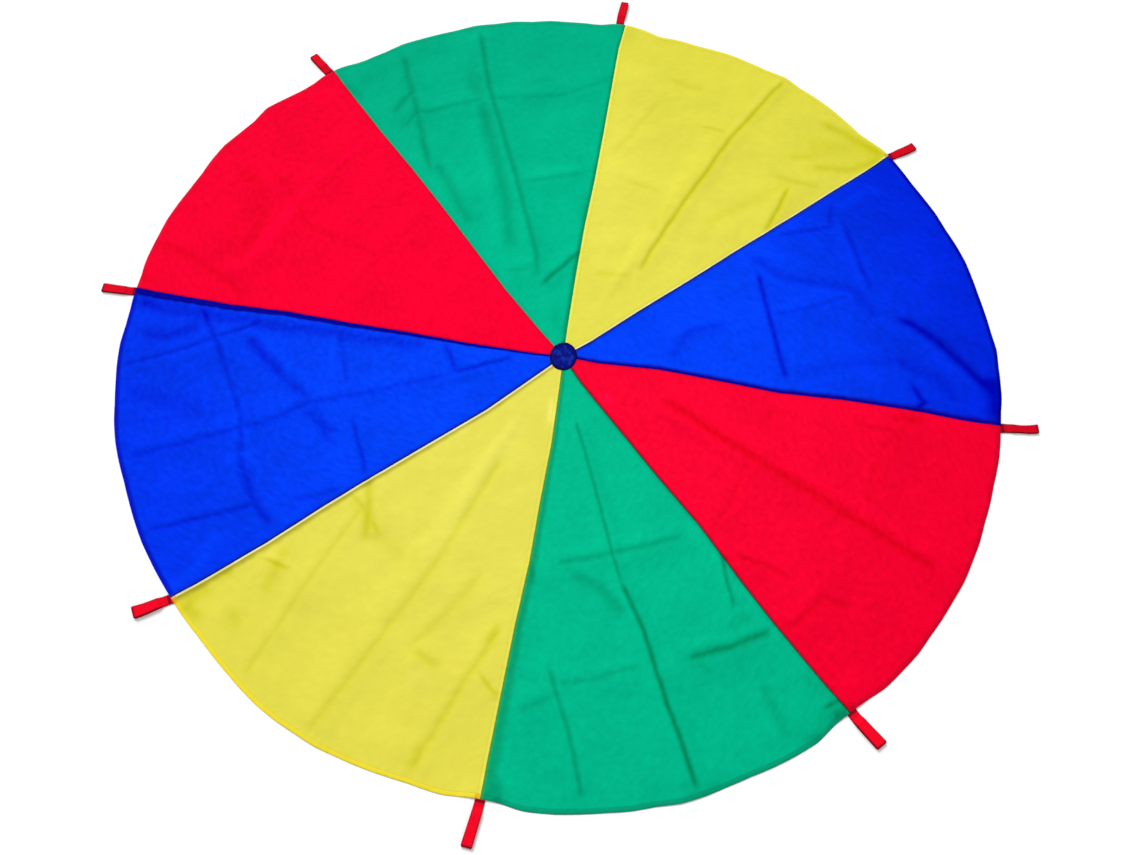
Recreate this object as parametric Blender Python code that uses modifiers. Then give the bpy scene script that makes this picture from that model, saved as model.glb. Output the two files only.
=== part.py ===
"""Play parachute: a round canopy of eight cloth gores with a webbing handle at every seam.

Metres, +Z up. The canopy lies spread out on the floor. The origin is on the floor under
its middle, and +Y runs along the seam between the first green and the second yellow gore.
Gores, seams and handles are numbered clockwise, seen from above. Seam 1 is the one on +Y.
"""

import math

import bmesh
import bpy
from mathutils import Matrix, Vector

# Canopy
CANOPY_RADIUS = 0.915
GORE_COUNT = 8
TIP_RADIUS = 0.004
PATCH_RADIUS = 0.032
HEM_WIDTH = 0.011
SEAM_ALLOWANCE = 0.010

# Layers of cloth, and the clearances between pieces that touch
CLOTH_THICKNESS = 0.0008
LAYER_GAP = 0.0003
SIDE_GAP = 0.0003

# Folds that storage has pressed into the cloth
FOLD_RISE = 0.0055
FOLD_CLEARANCE = 0.0054

# Handles, with the reach measured from the rim to the far end of the longest one
WEBBING_WIDTH = 0.020
WEBBING_THICKNESS = 0.0013
HANDLE_REACH = 0.0865
TAIL_MARGIN = 0.003
FINGER_GAP = 0.005
SEWN_LENGTH = 0.010
OPENING_RUN = 0.014
ROOT_CLEARANCE = 0.0006
PAD_MARGIN = 0.003
PAD_RUN = 0.120

# Places of the rows of a gore, from its tip to its rim, as shares of the canopy's radius
ROW_SHARES = (0.12, 0.25, 0.36, 0.44, 0.50, 0.56, 0.63, 0.70, 0.76, 0.82, 0.90)
STRAIGHT_ROW_SHARE = 0.76
ROUND_ROW_SHARE = 0.90

# Places of the columns of a gore, from its clockwise seam to its middle, as shares of its angle
COLUMN_SHARES = (0.20, 0.30, 0.40, 0.50)
SEAM_COLUMN_LIMIT_SHARE = 0.12
PAD_COLUMN_LIMIT_SHARE = 0.16

# The fold down a gore's middle and the two folds across it
MIDDLE_FOLD_SHARE = 0.50
MIDDLE_FOLD_HALF_SHARE = 0.10
MIDDLE_FOLD_START_SHARE = 0.12
MIDDLE_FOLD_RUN_SHARE = 0.13
CROSS_FOLD_HALF_SHARE = 0.06
INNER_CROSS_FOLD_SHARE = 0.50
OUTER_CROSS_FOLD_SHARE = 0.76
SEAM_FOLD_SHARE = 0.45

# For each gore, its colour and the heights of its three folds as shares of FOLD_RISE
GORE_COLOURS = ("green", "yellow", "blue", "red", "green", "yellow", "blue", "red")
MIDDLE_RISE_SHARES = (1.0, 0.9, 0.35, 0.9, 0.95, 0.6, 0.7, 0.6)
INNER_RISE_SHARES = (0.3, 0.4, 1.0, 0.4, 0.8, 0.4, 0.7, 0.4)
OUTER_RISE_SHARES = (0.8, 0.5, 0.6, 0.6, 1.0, 0.5, 1.0, 0.9)

# The gores and handles beyond the fold line, which runs along seams 3 and 7
FAR_GORES = (8, 1, 2, 3)
FAR_HANDLES = (8, 1, 2)

# Blue cloth carries the seam allowance beside red, and otherwise the clockwise gore does
SEAMS_UNDER_THE_CLOCKWISE_GORE = (True, True, False, True, True, True, False, True)

# For each handle: its reach as a share of the longest, how far it stands anticlockwise of
# its seam as a share of the webbing's width, and how far it is turned from the seam's line
HANDLE_REACH_SHARES = (0.80, 0.79, 0.90, 0.94, 1.00, 0.84, 0.82, 0.75)
HANDLE_OFFSET_SHARES = (0.55, -0.16, -0.20, 0.27, 0.00, 0.15, 0.44, 0.52)
HANDLE_YAW_DEGREES = (0.5, -5.9, 10.2, 2.4, -5.8, -15.2, 1.1, 2.8)

# Steps of the round shapes
PATCH_SIDES = 48
ARC_STEPS = 8
RISE_STEPS = 4

# Colours as red, green and blue from 0 to 255, with roughness
FINISHES = {
    "green": ((6, 180, 135), 0.45),
    "yellow": ((230, 221, 75), 0.45),
    "blue": ((4, 55, 245), 0.45),
    "red": ((243, 3, 45), 0.45),
    "navy": ((12, 30, 139), 0.50),
    "webbing": ((225, 12, 38), 0.75),
}

# Values worked out from the sizes above
GORE_ANGLE = 2 * math.pi / GORE_COUNT
FIRST_SEAM_ANGLE = math.pi / 2
PANEL_LIFT = CLOTH_THICKNESS + LAYER_GAP
TAIL_THICKNESS = 2 * WEBBING_THICKNESS
TAIL_LENGTH = HEM_WIDTH - TAIL_MARGIN
LOOP_HEIGHT = TAIL_THICKNESS + FINGER_GAP
CANOPY_HEIGHT = FOLD_RISE + PANEL_LIFT + CLOTH_THICKNESS
PATCH_CLEAR_RADIUS = PATCH_RADIUS + SIDE_GAP
PAD_HALF_WIDTH = WEBBING_WIDTH * (0.5 + max(HANDLE_OFFSET_SHARES)) + PAD_MARGIN
FOLD_AXIS_HEIGHT = max(LOOP_HEIGHT, CANOPY_HEIGHT) + FOLD_CLEARANCE


def clamp(value):
    """Keep a share between 0 and 1."""
    return min(1.0, max(0.0, value))


def tent(place, middle, half_width):
    """A fold's profile: 1 on its crest, falling straight to 0 half a width away."""
    return clamp(1 - abs(place - middle) / half_width)


def seam_angle(number):
    """Bearing of a seam. It is the clockwise edge of the gore with the same number."""
    return FIRST_SEAM_ANGLE - (number - 1) * GORE_ANGLE


def roundness(distance):
    """How far a row is bent from a straight line across the gore to an arc round the canopy."""
    share = distance / CANOPY_RADIUS
    return clamp((share - STRAIGHT_ROW_SHARE) / (ROUND_ROW_SHARE - STRAIGHT_ROW_SHARE))


def row_radius(distance, swing):
    """Distance from the tip at an angle from the gore's middle line, on the row at distance."""
    straight = distance / math.cos(swing)
    return straight + (distance - straight) * roundness(distance)


def seam_offset(distance, across):
    """Length along the row from a place on it to the nearest seam."""
    return min(across, 1 - across) * row_radius(distance, GORE_ANGLE / 2) * GORE_ANGLE


def plan_place(number, distance, across):
    """Place in plan on a gore, with across running from 0 at its clockwise seam to 1."""
    middle = seam_angle(number) + GORE_ANGLE / 2
    swing = (across - 0.5) * GORE_ANGLE
    tip = SIDE_GAP / 2 / math.sin(GORE_ANGLE / 2)
    radius = row_radius(distance, swing)
    along = Vector((math.cos(middle), math.sin(middle), 0.0)) * tip
    return along + Vector((math.cos(middle + swing), math.sin(middle + swing), 0.0)) * radius


def fold_lift(number, distance, across):
    """Height that the pressed folds of a gore stand off the floor."""
    share = distance / CANOPY_RADIUS
    inside = math.sin(math.pi * across)
    inner = SEAM_FOLD_SHARE + (INNER_RISE_SHARES[number - 1] - SEAM_FOLD_SHARE) * inside
    outer = SEAM_FOLD_SHARE + (OUTER_RISE_SHARES[number - 1] - SEAM_FOLD_SHARE) * inside
    inner *= tent(share, INNER_CROSS_FOLD_SHARE, CROSS_FOLD_HALF_SHARE)
    outer *= tent(share, OUTER_CROSS_FOLD_SHARE, CROSS_FOLD_HALF_SHARE)
    middle = tent(across, MIDDLE_FOLD_SHARE, MIDDLE_FOLD_HALF_SHARE)
    middle *= clamp((share - MIDDLE_FOLD_START_SHARE) / MIDDLE_FOLD_RUN_SHARE)
    middle *= MIDDLE_RISE_SHARES[number - 1]
    return FOLD_RISE * max(inner, outer, middle)


def handle_lift(distance, across):
    """Height that the webbing sewn under the rim holds the cloth off the floor."""
    beside = clamp(1 - (seam_offset(distance, across) - PAD_HALF_WIDTH) / PAD_RUN)
    inward = clamp(1 - (CANOPY_RADIUS - HEM_WIDTH - distance) / PAD_RUN)
    return (TAIL_THICKNESS + LAYER_GAP) * beside * inward


def lift(number, distance, across):
    """Height of the underside of the lowest layer of a gore."""
    return max(fold_lift(number, distance, across), handle_lift(distance, across))


def gore_rows():
    """Distances of the rows of a gore, from its tip to its rim."""
    between = [share * CANOPY_RADIUS for share in ROW_SHARES]
    return [TIP_RADIUS, PATCH_CLEAR_RADIUS, *between, CANOPY_RADIUS - HEM_WIDTH, CANOPY_RADIUS]


def gore_columns(distance):
    """Places of the columns across a row, from the clockwise seam to the other one."""
    width = row_radius(distance, GORE_ANGLE / 2) * GORE_ANGLE
    seam = min(SEAM_ALLOWANCE / width, SEAM_COLUMN_LIMIT_SHARE)
    pad = min(PAD_HALF_WIDTH / width, PAD_COLUMN_LIMIT_SHARE)
    half = [0.0, seam, pad, *COLUMN_SHARES]
    return half + [1 - share for share in reversed(half[:-1])]


def finish(name):
    """A plain material in one of the named colours."""
    colour, rough = FINISHES[name]
    made = bpy.data.materials.get(name) or bpy.data.materials.new(name)
    made.use_nodes = True
    shader = made.node_tree.nodes["Principled BSDF"]
    linear = [(part / 255) ** 2.2 for part in colour]
    shader.inputs["Base Color"].default_value = (*linear, 1.0)
    shader.inputs["Roughness"].default_value = rough
    shader.inputs["Metallic"].default_value = 0.0
    return made


def add_object(name, data, colour, collection):
    """Put a mesh or a curve into the collection as an object with its material."""
    made = bpy.data.objects.new(name, data)
    made.data.materials.append(finish(colour))
    collection.objects.link(made)
    return made


def add_cloth(name, number, rows, columns, height, colour, collection):
    """Lay a sheet of cloth over part of a gore.

    rows are distances from the tip, columns(distance) gives the places across each row,
    and the sheet's underside is height above the lowest layer's.
    """
    grid = bmesh.new()
    row_steps = len(rows) - 1
    column_steps = len(columns(rows[-1])) - 1
    bmesh.ops.create_grid(grid, x_segments=column_steps, y_segments=row_steps, size=1.0)
    for corner in grid.verts:
        row = round((corner.co.y + 1) / 2 * row_steps)
        column = round((corner.co.x + 1) / 2 * column_steps)
        distance = rows[row]
        across = columns(distance)[column_steps - column]
        corner.co = plan_place(number, distance, across)
        corner.co.z = lift(number, distance, across) + height
    mesh = bpy.data.meshes.new(name)
    grid.to_mesh(mesh)
    grid.free()
    sheet = add_object(name, mesh, colour, collection)
    solid = sheet.modifiers.new("Thickness", "SOLIDIFY")
    solid.thickness = CLOTH_THICKNESS
    solid.offset = 1.0
    return sheet


def add_panel(number, collection):
    """The gore itself, from its tip to its rim."""
    colour = GORE_COLOURS[number - 1]
    name = f"panel_{number}_{colour}"
    return add_cloth(name, number, gore_rows(), gore_columns, PANEL_LIFT, colour, collection)


def add_hem(number, collection):
    """The ply of the gore that is turned under along the rim."""
    colour = GORE_COLOURS[number - 1]
    rows = gore_rows()[-2:]
    return add_cloth(f"hem_{number}_{colour}", number, rows, gore_columns, 0.0, colour, collection)


def seam_gore(number):
    """Number of the gore that carries a seam's allowance."""
    clockwise = SEAMS_UNDER_THE_CLOCKWISE_GORE[number - 1]
    return number % GORE_COUNT + 1 if clockwise else number


def add_seam(number, collection):
    """The seam allowance that is felled flat under the gore on one side of the seam."""
    gore = seam_gore(number)
    colour = GORE_COLOURS[gore - 1]
    rows = [*gore_rows()[1:-2], CANOPY_RADIUS - HEM_WIDTH - LAYER_GAP]

    def columns(distance):
        places = gore_columns(distance)
        return places[:2] if gore == number else places[-2:]

    return add_cloth(f"seam_{number}_{colour}", gore, rows, columns, 0.0, colour, collection)


def add_patch(name, bottom, collection):
    """A round patch over the tips of the gores."""
    disc = bmesh.new()
    bmesh.ops.create_cone(
        disc,
        cap_ends=True,
        segments=PATCH_SIDES,
        radius1=PATCH_RADIUS,
        radius2=PATCH_RADIUS,
        depth=CLOTH_THICKNESS,
    )
    mesh = bpy.data.meshes.new(name)
    disc.to_mesh(mesh)
    disc.free()
    patch = add_object(name, mesh, "navy", collection)
    patch.location.z = bottom + CLOTH_THICKNESS / 2
    return patch


class HandlePlace:
    """Where one handle's webbing lies: its hinge, its direction and its length."""

    def __init__(self, number):
        bearing = seam_angle(number)
        turned = math.radians(HANDLE_YAW_DEGREES[number - 1])
        out = Vector((math.cos(bearing), math.sin(bearing), 0.0))
        beside = Vector((-out.y, out.x, 0.0))
        offset = HANDLE_OFFSET_SHARES[number - 1] * WEBBING_WIDTH
        corner = WEBBING_WIDTH / 2 * math.sin(abs(turned))
        clear = WEBBING_THICKNESS + ROOT_CLEARANCE
        self.angle = bearing + turned
        self.along = Vector((math.cos(self.angle), math.sin(self.angle), 0.0))
        self.rim_to_hinge = (clear + corner) / math.cos(turned)
        rim = out * CANOPY_RADIUS + beside * offset
        self.hinge = rim + self.along * self.rim_to_hinge
        self.hinge.z = WEBBING_THICKNESS
        reach = HANDLE_REACH * HANDLE_REACH_SHARES[number - 1] / math.cos(turned)
        self.length = reach - self.rim_to_hinge


def arc(middle_x, middle_y, radius, start, end):
    """Points round an arc, its two ends included."""
    turns = [start + (end - start) * step / ARC_STEPS for step in range(ARC_STEPS + 1)]
    return [
        (middle_x + radius * math.cos(math.radians(turn)), middle_y + radius * math.sin(math.radians(turn)))
        for turn in turns
    ]


def rise_curve(base):
    """The upper ply leaving the lower one, from the open stretch back to the sewn one."""
    points = []
    for step in range(1, RISE_STEPS):
        share = 1 - step / RISE_STEPS
        height = base + FINGER_GAP * (1 - math.cos(math.pi * share)) / 2
        points.append((SEWN_LENGTH + OPENING_RUN * share, height))
    return points


def add_loop(number, collection):
    """The strap outside the rim: two plies that part to leave room for fingers."""
    place = HandlePlace(number)
    name = f"handle_{number}"
    bend = place.length - WEBBING_THICKNESS - FINGER_GAP / 2
    open_from = SEWN_LENGTH + OPENING_RUN
    outside = [
        *arc(0.0, 0.0, WEBBING_THICKNESS, 90, 270),
        *arc(bend, FINGER_GAP / 2, WEBBING_THICKNESS + FINGER_GAP / 2, -90, 90),
        (open_from, FINGER_GAP + WEBBING_THICKNESS),
        *rise_curve(WEBBING_THICKNESS),
        (SEWN_LENGTH, WEBBING_THICKNESS),
    ]
    inside = [
        (SEWN_LENGTH, 0.0),
        *arc(bend, FINGER_GAP / 2, FINGER_GAP / 2, -90, 90),
        (open_from, FINGER_GAP),
        *rise_curve(0.0),
    ]
    outline = bpy.data.curves.new(name, "CURVE")
    outline.dimensions = "2D"
    outline.fill_mode = "BOTH"
    outline.extrude = WEBBING_WIDTH / 2
    for points in (outside, inside):
        spline = outline.splines.new("POLY")
        spline.points.add(len(points) - 1)
        for point, (x, y) in zip(spline.points, points):
            point.co = (x, y, 0.0, 1.0)
        spline.use_cyclic_u = True
    loop = add_object(name, outline, "webbing", collection)
    loop.location = place.hinge
    loop.rotation_euler = (math.pi / 2, 0.0, place.angle)
    return loop


def add_tail(number, collection):
    """The two plies of the strap that are sewn under the rim."""
    place = HandlePlace(number)
    name = f"handle_tail_{number}"
    start = WEBBING_THICKNESS + LAYER_GAP
    length = place.rim_to_hinge + TAIL_LENGTH - start
    block = bmesh.new()
    bmesh.ops.create_cube(block, size=1.0)
    bmesh.ops.scale(block, vec=(length, WEBBING_WIDTH, TAIL_THICKNESS), verts=block.verts)
    mesh = bpy.data.meshes.new(name)
    block.to_mesh(mesh)
    block.free()
    tail = add_object(name, mesh, "webbing", collection)
    tail.location = place.hinge - place.along * (start + length / 2)
    tail.rotation_euler = (0.0, 0.0, place.angle)
    return tail


def hang_far_half(pieces, collection):
    """Parent the pieces beyond the fold line to an empty on the fold's axis."""
    axis = bpy.data.objects.new("canopy_fold_axis", None)
    collection.objects.link(axis)
    axis.location = (0.0, 0.0, FOLD_AXIS_HEIGHT)
    for piece in pieces:
        piece.parent = axis
        piece.matrix_parent_inverse = Matrix.Translation(-axis.location)


def build():
    """Clear the file and make the play parachute."""
    for old in list(bpy.data.objects):
        bpy.data.objects.remove(old, do_unlink=True)
    parachute = bpy.data.collections.new("play_parachute")
    bpy.context.scene.collection.children.link(parachute)
    top_of_panels = PANEL_LIFT + CLOTH_THICKNESS
    add_patch("centre_patch_bottom", 0.0, parachute)
    add_patch("centre_patch_top", top_of_panels + LAYER_GAP, parachute)
    far_half = []
    for number in range(1, GORE_COUNT + 1):
        gore = [add_panel(number, parachute), add_hem(number, parachute)]
        seam = add_seam(number, parachute)
        handle = [add_loop(number, parachute), add_tail(number, parachute)]
        if number in FAR_GORES:
            far_half += gore
        if seam_gore(number) in FAR_GORES:
            far_half.append(seam)
        if number in FAR_HANDLES:
            far_half += handle
    hang_far_half(far_half, parachute)


build()
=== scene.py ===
"""Play parachute, dressed: eight cloth gores with their hems, seams and thread, a strap at
every seam, and a round patch over the middle.

Metres, +Z up, in the frame of the CAD model. Gores, seams and straps are numbered clockwise,
seen from above, and seam 1 is the one on +Y. A gore's clockwise seam has the gore's number.
"""

import logging
import math
from collections.abc import Callable
from dataclasses import dataclass, field
from enum import Enum

import bpy
import numpy as np
from mathutils import Matrix, Vector
from mathutils.geometry import delaunay_2d_cdt

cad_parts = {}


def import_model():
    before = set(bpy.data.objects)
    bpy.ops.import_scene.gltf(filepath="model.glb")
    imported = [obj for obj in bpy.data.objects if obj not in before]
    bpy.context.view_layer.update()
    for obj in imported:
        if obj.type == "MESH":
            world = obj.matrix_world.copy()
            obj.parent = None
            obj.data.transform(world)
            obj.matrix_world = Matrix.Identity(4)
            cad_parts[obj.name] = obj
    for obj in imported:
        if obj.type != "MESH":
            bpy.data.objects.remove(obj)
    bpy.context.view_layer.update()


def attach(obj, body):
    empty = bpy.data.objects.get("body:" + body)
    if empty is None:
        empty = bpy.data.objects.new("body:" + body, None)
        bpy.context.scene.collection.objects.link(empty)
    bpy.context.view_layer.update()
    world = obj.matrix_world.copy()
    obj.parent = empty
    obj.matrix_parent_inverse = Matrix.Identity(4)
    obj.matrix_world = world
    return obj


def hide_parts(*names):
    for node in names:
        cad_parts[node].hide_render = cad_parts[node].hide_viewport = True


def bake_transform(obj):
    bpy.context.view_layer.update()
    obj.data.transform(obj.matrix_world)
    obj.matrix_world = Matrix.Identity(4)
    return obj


LOG = logging.getLogger("play_parachute")

Pair = tuple[float, float]
Triple = tuple[float, float, float]
Colour = tuple[float, float, float]
Pixel = tuple[float, float]
Array = np.ndarray
Faces = list[tuple[int, ...]]
Piece = bpy.types.Object
Material = bpy.types.Material
Socket = bpy.types.NodeSocket
Value = bpy.types.NodeSocket | float | tuple[float, ...]

# Sizes that the CAD model has too
GORE_COUNT = 8
CANOPY_RADIUS = 0.915
TIP_RADIUS = 0.004
PATCH_RADIUS = 0.032
HEM_WIDTH = 0.011
SEAM_ALLOWANCE = 0.010
WEBBING_WIDTH = 0.020
WEBBING_THICKNESS = 0.0013
HANDLE_REACH = 0.0865
TAIL_LENGTH = 0.008
FINGER_GAP = 0.005
SEWN_LENGTH = 0.010
OPENING_RUN = 0.014
ROOT_CLEARANCE = 0.0006
FOLD_RISE = 0.0055
GORE_ANGLE = 2 * math.pi / GORE_COUNT

# The gores and straps beyond the line that the canopy folds on
FAR_GORES = (8, 1, 2, 3)

# The gore that each seam's allowance lies under
SEAM_GORES = (2, 3, 3, 5, 6, 7, 7, 1)

# The cloth as it is drawn here: its thickness, how far a ply lies under it, how high its
# underside stands where nothing is under it and over a strap's tail, its highest crest, how
# far a gore's edge keeps from its seam, and how high the upper patch lies
CLOTH_THICKNESS = 0.0005
PLY_DROP = 0.00078
BARE_LIFT = 0.0002
TAIL_COVER = 0.00275
CREST_LIMIT = 0.0102
EDGE_GAP = 0.0001
UPPER_PATCH_LIFT = 0.00205

WHITE = (1.0, 1.0, 1.0, 1.0)

# Where the cloth turns from the near half to the far half of the canopy when it is folded
BEND_START = (0.0, -0.004, 0.0)
BEND_END = (0.0, 0.046, 0.0)


def share_between(value: Array, low: float, high: float) -> Array:
    """Ease each number from 0 at low to 1 at high."""
    part = np.clip((value - low) / (high - low), 0.0, 1.0)
    return part * part * (3 - 2 * part)


def bell(distance: Array, width: float, power: float = 2) -> Array:
    """Fall smoothly from 1 on a line towards 0 beyond a width."""
    return np.exp(-((distance / width) ** power))


def hump(distance: Array, half_width: float) -> Array:
    """Fall smoothly from 1 on a line to exactly 0 half a width away."""
    return 0.5 + 0.5 * np.cos(math.pi * np.clip(distance / half_width, -1, 1))


def polar(points: Array) -> tuple[Array, Array]:
    """Distance from the canopy's middle and bearing of each point."""
    return np.hypot(points[:, 0], points[:, 1]), np.arctan2(points[:, 1], points[:, 0])


def rim_share(inset: float) -> float:
    """Share of the canopy's radius at a distance inside its rim."""
    return 1 - inset / CANOPY_RADIUS


def lengths_along(line: Array) -> Array:
    """Length along a line from its start to each of its points."""
    return np.concatenate(([0.0], np.cumsum(np.hypot(*np.diff(line, axis=0).T))))


def points_along(line: Array, places: Array) -> Array:
    """Read points off a line, at lengths along it."""
    along = lengths_along(line)
    return np.stack([np.interp(places, along, line[:, axis]) for axis in (0, 1)], axis=-1)


def directions(rows: Array) -> Array:
    """Scale rows of x and y to a length of 1."""
    return rows / np.hypot(rows[:, 0], rows[:, 1])[:, None]


def linear(colour: Colour) -> tuple[float, float, float, float]:
    """Turn a screen's red, green and blue, from 0 to 255, into the renderer's own values."""
    parts = [part / 255 for part in colour]
    made = [p / 12.92 if p <= 0.04045 else ((p + 0.055) / 1.055) ** 2.4 for p in parts]
    return (made[0], made[1], made[2], 1.0)


class Cloth(Enum):
    """The dyed cloths that the gores are cut from."""

    GREEN = "green"
    YELLOW = "yellow"
    BLUE = "blue"
    RED = "red"


class Half(Enum):
    """The two halves of the canopy, which are bodies of the CAD model."""

    NEAR = "near_half"
    FAR = "far_half"


@dataclass(frozen=True)
class PhotoView:
    """The camera that took the photograph, placed in the frame of the model."""

    width: int = 1140
    height: int = 855
    focal: float = 1299.1
    sensor: float = 36.0
    place: Triple = (0.13720, -1.29639, 2.38775)
    right: Triple = (0.98644, 0.16012, 0.03609)
    down: Triple = (0.15997, -0.88864, -0.42979)
    forward: Triple = (-0.03675, 0.42973, -0.90221)

    def floor_points(self, pixels: tuple[Pixel, ...]) -> Array:
        """Carry pixels of the photograph down to the floor.

        Args:
            pixels: Places in the photograph, x to the right and y down.

        Returns:
            One row of x and y in metres for each pixel.
        """
        flat = (np.array(pixels, float) - (self.width / 2, self.height / 2)) / self.focal
        rays = flat[:, :1] * self.right + flat[:, 1:] * self.down + np.array(self.forward)
        steps = -self.place[2] / rays[:, 2]
        return np.array(self.place[:2]) + rays[:, :2] * steps[:, None]

    def add_camera(self) -> None:
        """Make the scene's camera at this view."""
        data = bpy.data.cameras.new("photo_camera")
        data.sensor_width = self.sensor
        data.lens = self.focal / self.width * self.sensor
        camera = bpy.data.objects.new("photo_camera", data)
        bpy.context.scene.collection.objects.link(camera)
        turn = Matrix((self.right, -Vector(self.down), -Vector(self.forward))).transposed()
        camera.matrix_world = Matrix.Translation(self.place) @ turn.to_4x4()
        bpy.context.scene.camera = camera


@dataclass(frozen=True)
class Crease:
    """One line that storage has pressed into the cloth.

    The line is in pixels of the photograph. It was drawn by eye, and then most lines were moved
    sideways, and mark and reach were set, by a script that compared picture and photograph.
    mark is how much painted shade darkens the line against the cloth beside it, as a share, and
    reach is about half its width in metres. light is how much painted light brightens the cloth
    along its right side, or along its left side if it is negative.
    """

    line: tuple[Pixel, ...]
    mark: float
    reach: float
    light: float = 0.0


@dataclass(frozen=True)
class Shade:
    """A soft stroke of painted shade on the cloth, or of painted light if its tone is negative."""

    line: tuple[Pixel, ...]
    tone: float
    reach: float


@dataclass(frozen=True)
class Swell:
    """A broad soft rise in the cloth along a line, with its height and half width in metres."""

    line: tuple[Pixel, ...]
    rise: float
    reach: float


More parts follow.
